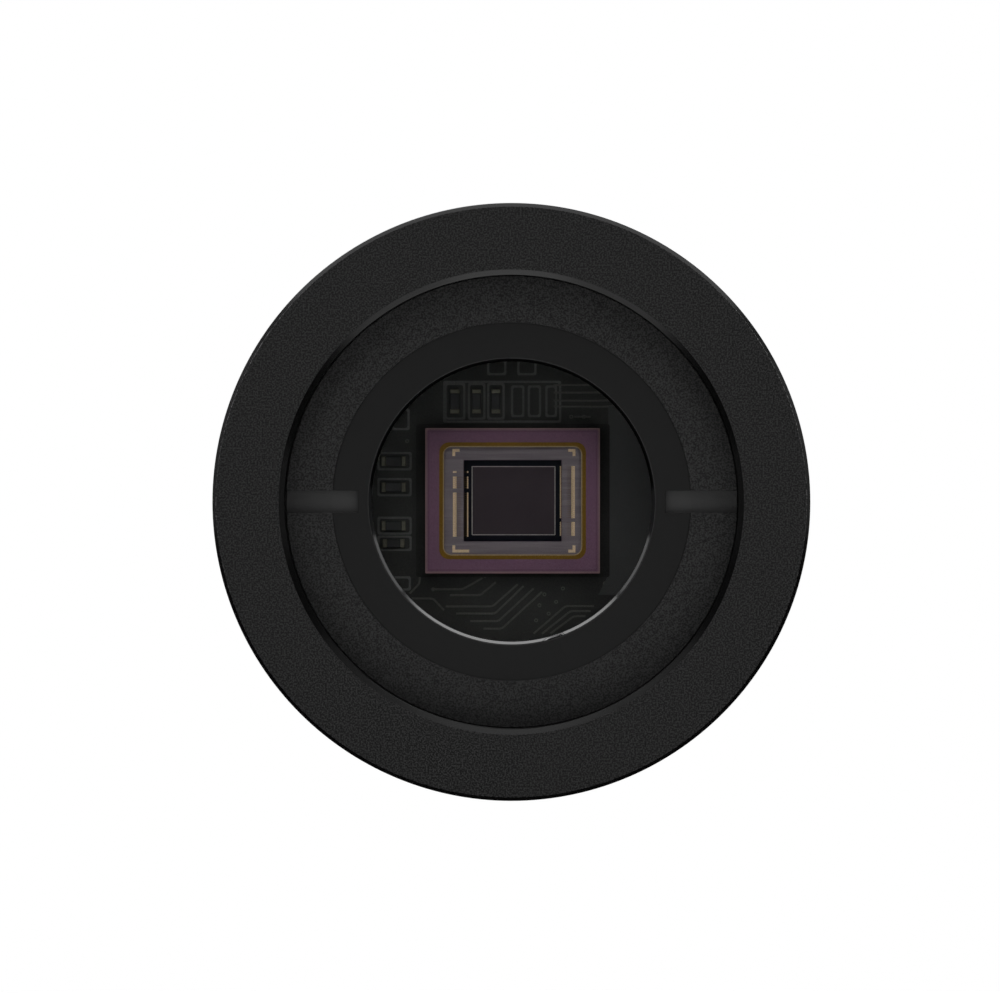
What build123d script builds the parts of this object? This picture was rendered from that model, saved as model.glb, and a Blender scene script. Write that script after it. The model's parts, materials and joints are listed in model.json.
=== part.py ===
from build123d import *
import os
from math import cos, radians, sin, sqrt, tan

# A cooled astronomy camera. The optical axis is the Y axis: light enters at the front flange
# face (y = 0) and travels towards +Y. The origin is the centre of that face, and +Z is up.

# ---------------------------------------------------------------- driving dimensions, mm
# Front housing
body_d = 70.0
front_wall = 6.0
edge_chamfer = 0.45
web_t = 3.5

# Nose socket, M54 x 0.75 female, plain at its minor radius
nose_r = 26.6
nose_depth = 4.8
lead_in_w = 0.65
lead_in_angle = 30.0
relief_w = 0.6
relief_depth = 0.4

# Window retaining ring, in the bottom of the nose thread, with two spanner slots
ring_t = 3.2
ring_step_r = 21.1
ring_step = 0.3
aperture_r = 16.5
aperture_chamfer = 0.3
aperture_chamfer_depth = 0.25
spanner_slot_w = 2.6
spanner_slot_in_r = 18.1
spanner_slot_depth = 1.2

# Chamber window, its washer and its seal
window_r = 20.5
window_t = 2.0
window_chamfer = 0.25
washer_t = 0.44
washer_w = 2.6
window_seal_section = 1.3
dew_heater_t = 0.25
dew_heater_w = 4.5

# Sensor in its ceramic package, 17.5 mm behind the flange
sensor_gap = 1.4
lid_t = 0.7
lid_inset = 0.15
lid_seal_t = 0.05
lid_seal_w = 0.36
package_w = 20.8
package_h = 17.3
package_t = 2.55
cavity_w = 16.75
cavity_h = 13.2
cavity_depth = 0.75
cavity_corner = 0.8
die_w = 11.6
die_h = 9.65
die_t = 0.5
die_recess = 0.5
die_margin = 0.3

# Circuit boards and the stack that carries them
board_t = 1.6
board_gap = 3.0
stack_inset = 3.5
stack_screw_r = 1.0
stack_screw_bite = 3.0
stack_head_r = 1.9
small_head_r = 1.6
small_head_t = 1.3
small_key = 1.6
post_r = 2.3
chip_w = 13.0
chip_t = 1.2
memory_w = 6.0
memory_h = 9.0
memory_t = 0.9
coil_w = 4.5
coil_t = 2.6
small_part_w = 1.3
small_part_len = 2.6
small_part_t = 0.6
top_part_at = -6.8
left_part_at = 5.0
small_part_step = 3.2
label_w = 7.2
label_h = 22.5
label_t = 0.12
label_gap = 1.0
label_cut = 2.4
plug_w = 16.0
plug_h = 4.0

# Cold finger and two-stage thermoelectric cooler
finger_w = 12.0
finger_h = 10.0
finger_plate_w = 40.0
finger_plate_h = 16.0
finger_plate_t = 3.0
finger_gap = 1.5
sleeve_wall = 2.6
cold_size = 20.0
hot_size = 28.0
cooler_plate_t = 0.8
upper_pellet_t = 1.2
lower_pellet_t = 1.4
pellet_w = 1.4
pellet_pitch = 3.6
bush_r = 2.4
bush_t = 0.8
clamp_bite = 3.0

# Heat sink
sink_plug_t = 4.0
sink_flange_t = 2.5
sink_seal_section = 1.6
fin_len = 22.0
fin_t = 1.1
fin_pitch = 3.3
fin_block_r = 26.0
fin_block_half_h = 20.5
lug_w = 8.0
lug_len = 5.0
lug_depth = 5.6
flange_screw_inset = 2.0
flange_screw_len = 7.5
feedthrough_w = 14.0
feedthrough_h = 3.2
feedthrough_out = 2.0
ribbon_w = 11.0
ribbon_t = 0.4

# Rear housing, cover and ports
rear_wall = 2.2
board_fin_gap = 2.5
fan_board_gap = 2.5
cover_t = 3.0
vent_w = 2.4
vent_len = 16.0
vent_step = 9.0
vents_per_bank = 7
boss_r = 3.0
boss_inset = 2.7
screw_r = 1.25
screw_len = 9.0
side_screw_r = 1.0
side_screw_len = 5.2
head_pocket = 1.2
board_screw_head_t = 1.0
board_screw_bite = 3.0
usb_w = 12.0
usb_h = 10.8
usb_wall = 0.6
usb_rim = 0.9
tongue_w = 5.6
tongue_h = 3.2
tongue_drop = 0.9
upper_w = 5.2
upper_h = 1.4
upper_rise = 3.1
tongue_sink = 1.5
tongue_root = 2.0
port_sink = 0.2
jack_r = 4.0
jack_bore_r = 2.85
jack_pin_r = 1.05
port_r = 4.2
port_wall = 0.7
port_rim = 1.6
port_floor = 2.5
jack_pin_sink = 0.8
contact_r = 0.4
contact_len = 5.0
contact_pitch = 2.4
light_r = 1.2

# Fan
fan_size = 35.0
fan_t = 10.0
fan_hole_inset = 3.0
fan_wall = 1.0
fan_corner = 2.5
fan_floor_t = 1.5
fan_strut_w = 2.0
fan_strut_angle = 20.0
hub_r = 8.0
hub_wall = 1.0
blade_count = 7
blade_t = 1.0
blade_pitch = 38.0
magnet_t = 0.9
stator_r = 5.4
stator_teeth = 6
stator_tooth_w = 1.6
stator_core = 0.72
stator_gap = 0.6
bearing_r = 2.2
bearing_len = 2.2
bearing_wall = 0.7
shaft_r = 1.0
grille_rib = 1.1
grille_gap = 2.1
grille_centre_r = 4.0
grille_spoke = 1.8

# Desiccant port, M7 x 0.75, in the side of the sensor chamber
drier_head_r = 5.2
drier_head_t = 1.3
drier_thread_r = 3.5
drier_thread_in = 0.8
drier_seal_section = 0.9
drier_sink = 2.9
drier_key_r = 2.3
tablet_r = 3.2
tablet_t = 3.0
tablet_at = 24.4

# Fits between neighbours
thread_clearance = 0.05
slip_gap = 0.03
seat_gap = 0.1
fit_clearance = 0.2
screw_clearance = 0.1
board_clearance = 1.0
running_clearance = 0.4

# ---------------------------------------------------------------- worked out from the above
body_r = body_d / 2
chamber_r = body_r - front_wall
rear_r = body_r - rear_wall

ring_r = nose_r - thread_clearance
ring_y = nose_depth
ring_back = ring_y + ring_t
washer_y = ring_back + slip_gap
window_y = washer_y + washer_t + slip_gap
window_back = window_y + window_t
seat_y = window_back + seat_gap
web_aperture_r = aperture_r + aperture_chamfer + fit_clearance
window_pocket_r = window_r + fit_clearance
window_seal_r = (web_aperture_r + window_r) / 2
web_back = seat_y + web_t

lid_y = web_back + sensor_gap
package_y = lid_y + lid_t + lid_seal_t
shelf_y = package_y + cavity_depth
die_y = shelf_y + die_recess
package_back = package_y + package_t

sensor_board_y = package_back
sensor_board_back = sensor_board_y + board_t
main_board_y = sensor_board_back + board_gap
main_board_back = main_board_y + board_t
board_r = chamber_r - board_clearance
label_x = package_w / 2 + label_gap
stack_at = board_r - stack_inset

finger_plate_y = main_board_back + finger_gap
cold_plate_y = finger_plate_y + finger_plate_t
upper_pellet_y = cold_plate_y + cooler_plate_t
mid_plate_y = upper_pellet_y + upper_pellet_t
lower_pellet_y = mid_plate_y + cooler_plate_t
hot_plate_y = lower_pellet_y + lower_pellet_t
sink_y = hot_plate_y + cooler_plate_t
clamp_x = (hot_size / 2 + finger_plate_w / 2) / 2

flange_y = sink_y + sink_plug_t
flange_back = flange_y + sink_flange_t
fin_back = flange_back + fin_len
sink_plug_r = chamber_r - fit_clearance
flange_screw_at = chamber_r + flange_screw_inset
sink_seal_r = chamber_r - slip_gap - sink_seal_section / 2
feedthrough_z = -(fin_block_half_h + feedthrough_h / 2 + fit_clearance)

link_board_y = fin_back + board_fin_gap
link_board_back = link_board_y + board_t
link_board_r = rear_r - 0.6
fan_y = link_board_back + fan_board_gap
cover_y = fan_y + fan_t
cover_back = cover_y + cover_t
port_face = cover_back - port_sink
boss_at = rear_r - boss_inset

usb_z = sqrt(rear_r**2 - (usb_w / 2) ** 2) - usb_rim - usb_h / 2
jack_z = -(rear_r - port_rim - jack_r)
wheel_port_x = -(rear_r - port_rim - port_r)
light_x = rear_r - port_rim - port_r
fan_hole_at = fan_size / 2 - fan_hole_inset
fan_bore_r = fan_size / 2 - fan_wall

drier_y = (main_board_back + sink_y) / 2
drier_floor_x = body_r - drier_sink
drier_head_x = drier_floor_x + drier_seal_section + 2 * slip_gap
drier_seal_r = drier_thread_r + drier_seal_section / 2 + seat_gap
drier_thread_x = chamber_r - drier_thread_in

corners = [45.0, 135.0, 225.0, 315.0]
flange_screw_angles = [30.0, 90.0, 150.0, 210.0, 270.0, 330.0]


def station(depth):
    """The plane across the optical axis at a depth, with x to the right and y up."""
    return Plane.XZ.offset(-depth)


def around(radius, angles):
    """The points at a radius about the optical axis."""
    return [(radius * cos(radians(a)), radius * sin(radians(a))) for a in angles]


def save(piece, name):
    """Labels a finished piece and writes its STEP file."""
    piece.part.label = name
    export_step(piece.part, f"parts/{name}.step")


def turned(*profile):
    """A piece turned about the optical axis from (radius, depth) points."""
    with BuildPart() as lathe:
        with BuildSketch(Plane.XY):
            with BuildLine():
                Polyline(*profile, close=True)
            make_face()
        revolve(axis=Axis.Y)
    return lathe


def ring(inner, outer, front, back):
    """A plain ring about the optical axis."""
    return turned((inner, front), (outer, front), (outer, back), (inner, back))


def seal(centre_r, front, section):
    """An O-ring about the optical axis."""
    with BuildPart() as o_ring:
        with BuildSketch(Plane.XY):
            with Locations((centre_r, front + section / 2)):
                Circle(section / 2)
        revolve(axis=Axis.Y)
    return o_ring


def slab(width, height, front, thickness, places=((0, 0),), corner=0.0):
    """Flat rectangular blocks across the optical axis, one at each place."""
    with BuildPart() as plate:
        with BuildSketch(station(front + thickness)):
            with Locations(*places):
                if corner:
                    RectangleRounded(width, height, corner)
                else:
                    Rectangle(width, height)
        extrude(amount=thickness)
    return plate


def discs(radius, front, thickness, places=((0, 0),), bore=0.0):
    """Round pins, or tubes where there is a bore, along the optical axis."""
    with BuildPart() as pins:
        with BuildSketch(station(front + thickness)):
            with Locations(*places):
                Circle(radius)
            if bore:
                with Locations(*places):
                    Circle(bore, mode=Mode.SUBTRACT)
        extrude(amount=thickness)
    return pins


def screws(places, seat, shank_r, length, head_r, head_t, key):
    """Cap screws that point forwards, with their heads standing behind the seat."""
    with BuildPart() as group:
        with BuildSketch(station(seat)):
            with Locations(*places):
                Circle(shank_r)
        extrude(amount=length)
        with BuildSketch(station(seat + head_t)):
            with Locations(*places):
                Circle(head_r)
        extrude(amount=head_t)
        with BuildSketch(station(seat + head_t)):
            with Locations(*places):
                RegularPolygon(key / 2, 6)
        extrude(amount=0.6 * head_t, mode=Mode.SUBTRACT)
    return group


os.makedirs("parts", exist_ok=True)

# ---------------------------------------------------------------- front housing
side_plane = Plane(origin=(body_r, drier_y, 0), x_dir=(0, 1, 0), z_dir=(1, 0, 0))
thread_plane = side_plane.offset(drier_floor_x - body_r)
flange_places = around(flange_screw_at, flange_screw_angles)
lead_in_depth = lead_in_w * tan(radians(lead_in_angle))

with BuildPart() as front_housing:
    with BuildSketch(Plane.XY):
        with BuildLine():
            Polyline(
                (nose_r + lead_in_w, 0),
                (body_r - edge_chamfer, 0),
                (body_r, edge_chamfer),
                (body_r, flange_y - edge_chamfer),
                (body_r - edge_chamfer, flange_y),
                (chamber_r, flange_y),
                (chamber_r, web_back),
                (web_aperture_r, web_back),
                (web_aperture_r, seat_y),
                (window_pocket_r, seat_y),
                (window_pocket_r, washer_y),
                (nose_r, washer_y),
                (nose_r, ring_y),
                (nose_r + relief_depth, ring_y),
                (nose_r + relief_depth, ring_y - relief_w),
                (nose_r, ring_y - relief_w),
                (nose_r, lead_in_depth),
                close=True,
            )
        make_face()
    revolve(axis=Axis.Y)
    with BuildSketch(station(window_back + window_seal_section + slip_gap)):
        Circle(window_seal_r + window_seal_section / 2 + seat_gap)
        Circle(window_seal_r - window_seal_section / 2 - seat_gap, mode=Mode.SUBTRACT)
    extrude(amount=window_seal_section, mode=Mode.SUBTRACT)
    with BuildSketch(station(flange_y)):
        with Locations(*flange_places):
            Circle(stack_screw_r + thread_clearance)
    extrude(amount=flange_screw_len, mode=Mode.SUBTRACT)
    with BuildSketch(side_plane):
        Circle(drier_head_r + fit_clearance)
    extrude(amount=-drier_sink, mode=Mode.SUBTRACT)
    with BuildSketch(thread_plane):
        Circle(drier_thread_r + thread_clearance)
    extrude(amount=-front_wall, mode=Mode.SUBTRACT)
save(front_housing, "front_housing")

# ---------------------------------------------------------------- window and its ring
with BuildPart() as window_retaining_ring:
    with BuildSketch(Plane.XY):
        with BuildLine():
            Polyline(
                (ring_step_r, ring_y),
                (ring_r, ring_y),
                (ring_r, ring_back),
                (aperture_r, ring_back),
                (aperture_r, ring_y + ring_step + aperture_chamfer_depth),
                (aperture_r + aperture_chamfer, ring_y + ring_step),
                (ring_step_r, ring_y + ring_step),
                close=True,
            )
        make_face()
    revolve(axis=Axis.Y)
    slot_len = ring_r - spanner_slot_in_r + fit_clearance
    slot_mid = spanner_slot_in_r + slot_len / 2
    with BuildSketch(station(ring_y + spanner_slot_depth)):
        with Locations((-slot_mid, 0), (slot_mid, 0)):
            Rectangle(slot_len, spanner_slot_w)
    extrude(amount=spanner_slot_depth, mode=Mode.SUBTRACT)
save(window_retaining_ring, "window_retaining_ring")

washer = ring(window_r - washer_w, window_r, washer_y, washer_y + washer_t)
save(washer, "slip_washer")

with BuildPart() as window_glass:
    with BuildSketch(station(window_back)):
        Circle(window_r)
    extrude(amount=window_t)
    chamfer(window_glass.edges().filter_by(GeomType.CIRCLE), window_chamfer)
save(window_glass, "window_glass")

save(seal(window_seal_r, window_back, window_seal_section), "window_seal")

heater_r = web_aperture_r + seat_gap
save(ring(heater_r, heater_r + dew_heater_w, web_back, web_back + dew_heater_t), "dew_heater")

# ---------------------------------------------------------------- sensor
pocket_w = die_w + 2 * die_margin
pocket_h = die_h + 2 * die_margin

with BuildPart() as sensor_package:
    with BuildSketch(station(package_back)):
        Rectangle(package_w, package_h)
    extrude(amount=package_t)
    with BuildSketch(station(shelf_y)):
        RectangleRounded(cavity_w, cavity_h, cavity_corner)
    extrude(amount=cavity_depth, mode=Mode.SUBTRACT)
    with BuildSketch(station(die_y + die_t)):
        Rectangle(pocket_w, pocket_h)
    extrude(amount=die_t + die_recess, mode=Mode.SUBTRACT)
save(sensor_package, "sensor_package")

save(slab(die_w, die_h, die_y, die_t), "sensor_die")

with BuildPart() as sensor_lid_seal:
    with BuildSketch(station(package_y)):
        RectangleRounded(cavity_w + 2 * lid_seal_w, cavity_h + 2 * lid_seal_w, cavity_corner + lid_seal_w)
        RectangleRounded(cavity_w, cavity_h, cavity_corner, mode=Mode.SUBTRACT)
    extrude(amount=lid_seal_t)
save(sensor_lid_seal, "sensor_lid_seal")

lid_w = package_w - 2 * lid_inset
lid_h = package_h - 2 * lid_inset
save(slab(lid_w, lid_h, lid_y, lid_t), "sensor_lid")

# ---------------------------------------------------------------- sensor board
stack_places = around(stack_at, corners)
finger_hole_w = finger_w + 2 * fit_clearance
finger_hole_h = finger_h + 2 * fit_clearance


def round_board(front, radius, hole_w, hole_h, holes, hole_r):
    """A round circuit board with a rectangular cut-out and screw holes."""
    with BuildPart() as board:
        with BuildSketch(station(front + board_t)):
            Circle(radius)
            Rectangle(hole_w, hole_h, mode=Mode.SUBTRACT)
            with Locations(*holes):
                Circle(hole_r, mode=Mode.SUBTRACT)
        extrude(amount=board_t)
    return board


stack_hole_r = stack_screw_r + screw_clearance
sensor_board = round_board(
    sensor_board_y, board_r, finger_hole_w, finger_hole_h, stack_places, stack_hole_r
)
save(sensor_board, "sensor_board")

with BuildPart() as sensor_board_label:
    with BuildSketch(station(sensor_board_y)):
        with BuildLine():
            Polyline(
                (label_x, -label_h / 2),
                (label_x + label_w, -label_h / 2),
                (label_x + label_w, label_h / 2),
                (label_x, label_h / 2),
                (label_x, label_cut - label_h / 2),
                (label_x - label_cut / 2, -label_h / 2),
                close=True,
            )
        make_face()
    extrude(amount=label_t)
save(sensor_board_label, "sensor_board_label")

above_package = package_h / 2 + small_part_len + 0.8
beside_package = -(package_w / 2 + small_part_len + 1.0)
top_row = [(top_part_at + small_part_len * i, above_package) for i in range(4)]
left_row = [(beside_package, left_part_at - small_part_step * i) for i in range(4)]
small_part_y = sensor_board_y - small_part_t
save(
    slab(small_part_w, small_part_len, small_part_y, small_part_t, top_row),
    "sensor_board_capacitors",
)
save(
    slab(small_part_len, small_part_w, small_part_y, small_part_t, left_row),
    "sensor_board_resistors",
)

save(
    discs(post_r, web_back, sensor_board_y - web_back, stack_places, stack_hole_r),
    "board_posts",
)
save(
    discs(post_r, sensor_board_back, board_gap, stack_places, stack_hole_r),
    "board_spacers",
)
stack_len = main_board_back - sensor_board_y + stack_screw_bite
save(
    screws(
        stack_places, main_board_back, stack_screw_r, stack_len, stack_head_r, small_head_t, small_key
    ),
    "stack_screws",
)

# ---------------------------------------------------------------- main board
plug_z = -(finger_h / 2 + sleeve_wall + plug_h)
plug_t = board_gap / 2
save(slab(plug_w, plug_h, sensor_board_back, plug_t, [(0, plug_z)]), "sensor_board_plug")
save(slab(plug_w, plug_h, main_board_y - plug_t, plug_t, [(0, plug_z)]), "main_board_socket")

main_board = round_board(
    main_board_y, board_r, finger_hole_w, finger_hole_h, stack_places, stack_hole_r
)
save(main_board, "main_board")

chip_row = finger_plate_h / 2 + chip_w / 2 + 0.6
memory_row = [(-2 * memory_w, -1.5 * memory_h), (2 * memory_w, -1.5 * memory_h)]
coil_row = [(-coil_w, -4.2 * coil_w), (coil_w, -4.2 * coil_w)]
save(slab(chip_w, chip_w, main_board_back, chip_t, [(0, chip_row)]), "processor_chip")
save(slab(memory_w, memory_h, main_board_back, memory_t, memory_row), "memory_chips")
save(slab(coil_w, coil_w, main_board_back, coil_t, coil_row), "power_coils")

# ---------------------------------------------------------------- cold finger and cooler
clamp_places = [(-clamp_x, 0), (clamp_x, 0)]

with BuildPart() as cold_finger:
    with BuildSketch(station(finger_plate_y + finger_plate_t)):
        Rectangle(finger_plate_w, finger_plate_h)
        with Locations(*clamp_places):
            Circle(stack_hole_r + bush_t, mode=Mode.SUBTRACT)
    extrude(amount=finger_plate_t)
    with BuildSketch(station(finger_plate_y)):
        Rectangle(finger_w, finger_h)
    extrude(amount=finger_plate_y - package_back)
save(cold_finger, "cold_finger")

with BuildPart() as insulation_sleeve:
    with BuildSketch(station(main_board_y - seat_gap)):
        Rectangle(finger_hole_w + 2 * sleeve_wall, finger_hole_h + 2 * sleeve_wall)
        Rectangle(finger_hole_w, finger_hole_h, mode=Mode.SUBTRACT)
    extrude(amount=board_gap - 2 * seat_gap)
save(insulation_sleeve, "insulation_sleeve")

with BuildPart() as clamp_bushes:
    with BuildSketch(station(finger_plate_y)):
        with Locations(*clamp_places):
            Circle(bush_r)
    extrude(amount=bush_t)
    with BuildSketch(station(finger_plate_y + finger_plate_t)):
        with Locations(*clamp_places):
            Circle(stack_hole_r + bush_t - seat_gap)
    extrude(amount=finger_plate_t)
    with BuildSketch(station(finger_plate_y + finger_plate_t)):
        with Locations(*clamp_places):
            Circle(stack_hole_r)
    extrude(amount=finger_plate_t + bush_t, mode=Mode.SUBTRACT)
save(clamp_bushes, "clamp_bushes")

with BuildPart() as clamp_screws:
    with BuildSketch(station(sink_y + clamp_bite)):
        with Locations(*clamp_places):
            Circle(stack_screw_r)
    extrude(amount=sink_y + clamp_bite - finger_plate_y + bush_t)
    with BuildSketch(station(finger_plate_y - bush_t)):
        with Locations(*clamp_places):
            Circle(bush_r - fit_clearance)
    extrude(amount=bush_t - seat_gap)
save(clamp_screws, "clamp_screws")

save(slab(cold_size, cold_size, cold_plate_y, cooler_plate_t), "cooler_cold_plate")
save(slab(hot_size, hot_size, mid_plate_y, cooler_plate_t), "cooler_middle_plate")
save(slab(hot_size, hot_size, hot_plate_y, cooler_plate_t), "cooler_hot_plate")


def pellets(size, front, thickness):
    """The semiconductor pellets between two cooler plates."""
    count = int((size - pellet_w) // pellet_pitch) + 1
    with BuildPart() as group:
        with BuildSketch(station(front + thickness)):
            with GridLocations(pellet_pitch, pellet_pitch, count, count):
                Rectangle(pellet_w, pellet_w)
        extrude(amount=thickness)
    return group


save(pellets(cold_size, upper_pellet_y, upper_pellet_t), "cooler_upper_pellets")
save(pellets(hot_size, lower_pellet_y, lower_pellet_t), "cooler_lower_pellets")

# ---------------------------------------------------------------- drying of the chamber
save(
    discs(tablet_r, sink_y - tablet_t, tablet_t, around(tablet_at, corners)),
    "desiccant_tablets",
)

with BuildPart() as desiccant_seal:
    with BuildSketch(Plane.XY):
        with Locations((drier_floor_x + slip_gap + drier_seal_section / 2, drier_y + drier_seal_r)):
            Circle(drier_seal_section / 2)
    revolve(axis=Axis((0, drier_y, 0), (1, 0, 0)))
save(desiccant_seal, "desiccant_seal")

head_plane = side_plane.offset(drier_head_x + drier_head_t - body_r)
with BuildPart() as desiccant_plug:
    with BuildSketch(head_plane):
        Circle(drier_head_r)
    extrude(amount=-drier_head_t)
    chamfer(desiccant_plug.edges().group_by(Axis.X)[-1], drier_head_t / 4)
    with BuildSketch(side_plane.offset(drier_head_x - body_r)):
        Circle(drier_thread_r)
    extrude(amount=drier_thread_x - drier_head_x)
    with BuildSketch(head_plane):
        RegularPolygon(drier_key_r, 6)
    extrude(amount=-(drier_head_t + drier_seal_section), mode=Mode.SUBTRACT)
save(desiccant_plug, "desiccant_plug")

# ---------------------------------------------------------------- heat sink
flange_hole_r = stack_screw_r + screw_clearance
lug_places = around(rear_r - fit_clearance - lug_depth / 2, corners)
side_screw_y = flange_back + lug_len / 2
fin_count = int((2 * fin_block_r - fin_t) // fin_pitch)
feedthrough_place = [(0, feedthrough_z)]

with BuildPart() as heat_sink:
    with BuildSketch(Plane.XY):
        groove = sink_seal_section + 2 * seat_gap
        groove_y = sink_y + (sink_plug_t - groove) / 2
        groove_r = sink_seal_r - sink_seal_section / 2 - slip_gap
        with BuildLine():
            Polyline(
                (0, sink_y),
                (sink_plug_r, sink_y),
                (sink_plug_r, groove_y),
                (groove_r, groove_y),
                (groove_r, groove_y + groove),
                (sink_plug_r, groove_y + groove),
                (sink_plug_r, flange_y),
                (body_r - edge_chamfer, flange_y),
                (body_r - edge_chamfer, flange_back),
                (0, flange_back),
                close=True,
            )
        make_face()
    revolve(axis=Axis.Y)
    with BuildSketch(station(fin_back)):
        with GridLocations(fin_pitch, 1, fin_count, 1):
            Rectangle(fin_t, 2 * fin_block_half_h)
        Circle(fin_block_r, mode=Mode.INTERSECT)
    extrude(amount=fin_len)
    with BuildSketch(station(flange_back + lug_len)):
        with Locations(*[Location((x, z, 0), (0, 0, a)) for (x, z), a in zip(lug_places, corners)]):
            Rectangle(lug_depth, lug_w)
        Circle(rear_r - fit_clearance, mode=Mode.INTERSECT)
    extrude(amount=lug_len)
    with BuildSketch(station(flange_back)):
        with Locations(*flange_places):
            Circle(flange_hole_r)
    extrude(amount=sink_flange_t, mode=Mode.SUBTRACT)
    with BuildSketch(station(flange_back)):
        with Locations(*feedthrough_place):
            Rectangle(feedthrough_w + 2 * slip_gap, feedthrough_h + 2 * slip_gap)
    extrude(amount=sink_flange_t + sink_plug_t, mode=Mode.SUBTRACT)
    with BuildSketch(station(sink_y + clamp_bite + seat_gap)):
        with Locations(*clamp_places):
            Circle(stack_hole_r)
    extrude(amount=clamp_bite + seat_gap, mode=Mode.SUBTRACT)
    for angle in corners:
        lug_face = Plane(
            origin=(rear_r * cos(radians(angle)), side_screw_y, rear_r * sin(radians(angle))),
            x_dir=(0, 1, 0),
            z_dir=(cos(radians(angle)), 0, sin(radians(angle))),
        )
        with BuildSketch(lug_face):
            Circle(side_screw_r + thread_clearance)
        extrude(amount=-side_screw_len, mode=Mode.SUBTRACT)
save(heat_sink, "heat_sink")

save(seal(sink_seal_r, sink_y + sink_plug_t / 2 - sink_seal_section / 2, sink_seal_section), "chamber_seal")
save(
    screws(
        flange_places,
        flange_back,
        stack_screw_r,
        flange_screw_len - seat_gap,
        small_head_r,
        small_head_t,
        small_key,
    ),
    "flange_screws",
)
feedthrough_len = sink_flange_t + sink_plug_t + 2 * feedthrough_out
save(
    slab(feedthrough_w, feedthrough_h, sink_y - feedthrough_out, feedthrough_len, feedthrough_place),
    "feedthrough",
)

# The ribbon runs from the feedthrough to the link board, outside the fins
ribbon_y = flange_back + feedthrough_out
save(
    slab(ribbon_w, ribbon_t, ribbon_y, link_board_y - ribbon_y, [(0, feedthrough_z)]),
    "link_ribbon",
)

# ---------------------------------------------------------------- rear housing
boss_places = around(boss_at, corners)
vent_y = flange_back + fin_len / 2 + lug_len / 2

with BuildPart() as rear_housing:
    with BuildSketch(Plane.XY):
        with BuildLine():
            Polyline(
                (rear_r, flange_back),
                (body_r - edge_chamfer, flange_back),
                (body_r, flange_back + edge_chamfer),
                (body_r, cover_y),
                (rear_r, cover_y),
                close=True,
            )
        make_face()
    revolve(axis=Axis.Y)
    with BuildSketch(station(cover_y)):
        with Locations(*boss_places):
            Circle(boss_r)
        Circle(rear_r + rear_wall / 2, mode=Mode.INTERSECT)
    extrude(amount=cover_y - link_board_back)
    with BuildSketch(station(cover_y)):
        with Locations(*boss_places):
            Circle(screw_r + thread_clearance)
    extrude(amount=cover_y - link_board_back, mode=Mode.SUBTRACT)
    for middle in (90.0, 270.0):
        for index in range(vents_per_bank):
            angle = middle + (index - (vents_per_bank - 1) / 2) * vent_step
            vent_plane = Plane(
                origin=(0, vent_y, 0),
                x_dir=(0, 1, 0),
                z_dir=(cos(radians(angle)), 0, sin(radians(angle))),
            )
            with BuildSketch(vent_plane.offset(rear_r - rear_wall)):
                SlotOverall(vent_len, vent_w)
            extrude(amount=3 * rear_wall, mode=Mode.SUBTRACT)
    for angle in corners:
        lug_face = Plane(
            origin=(body_r * cos(radians(angle)), side_screw_y, body_r * sin(radians(angle))),
            x_dir=(0, 1, 0),
            z_dir=(cos(radians(angle)), 0, sin(radians(angle))),
        )
        with BuildSketch(lug_face):
            Circle(side_screw_r + screw_clearance)
        extrude(amount=-2 * rear_wall, mode=Mode.SUBTRACT)
        with BuildSketch(lug_face):
            Circle(2 * side_screw_r + screw_clearance)
        extrude(amount=-head_pocket, mode=Mode.SUBTRACT)
save(rear_housing, "rear_housing")

with BuildPart() as side_screws:
    for angle in corners:
        head_r = body_r - head_pocket
        lug_face = Plane(
            origin=(head_r * cos(radians(angle)), side_screw_y, head_r * sin(radians(angle))),
            x_dir=(0, 1, 0),
            z_dir=(cos(radians(angle)), 0, sin(radians(angle))),
        )
        with BuildSketch(lug_face):
            Circle(2 * side_screw_r)
        extrude(amount=head_pocket - seat_gap)
        with BuildSketch(lug_face):
            Circle(side_screw_r)
        extrude(amount=-side_screw_len)
        with BuildSketch(lug_face.offset(head_pocket - seat_gap)):
            RegularPolygon(side_screw_r * 0.8, 6)
        extrude(amount=-head_pocket / 2, mode=Mode.SUBTRACT)
save(side_screws, "side_screws")

# ---------------------------------------------------------------- link board
with BuildPart() as link_board:
    with BuildSketch(station(link_board_back)):
        Circle(link_board_r)
        Circle(fan_bore_r, mode=Mode.SUBTRACT)
        with Locations(*boss_places):
            Circle(screw_r + screw_clearance, mode=Mode.SUBTRACT)
    extrude(amount=board_t)
save(link_board, "link_board")

with BuildPart() as link_board_screws:
    with BuildSketch(station(link_board_y)):
        with Locations(*boss_places):
            Circle(1.6 * screw_r)
    extrude(amount=board_screw_head_t)
    with BuildSketch(station(link_board_back + board_screw_bite)):
        with Locations(*boss_places):
            Circle(screw_r)
    extrude(amount=board_t + board_screw_bite)
save(link_board_screws, "link_board_screws")

# ---------------------------------------------------------------- fan
fan_corner_places = [(x, z) for x in (-fan_hole_at, fan_hole_at) for z in (-fan_hole_at, fan_hole_at)]
bearing_tube_r = bearing_r + bearing_wall
rotor_front = fan_y + fan_floor_t + running_clearance
rotor_back = cover_y - running_clearance
bearing_places = [fan_y + fan_floor_t, rotor_back - hub_wall - running_clearance - bearing_len]
magnet_r = hub_r - hub_wall

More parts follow.
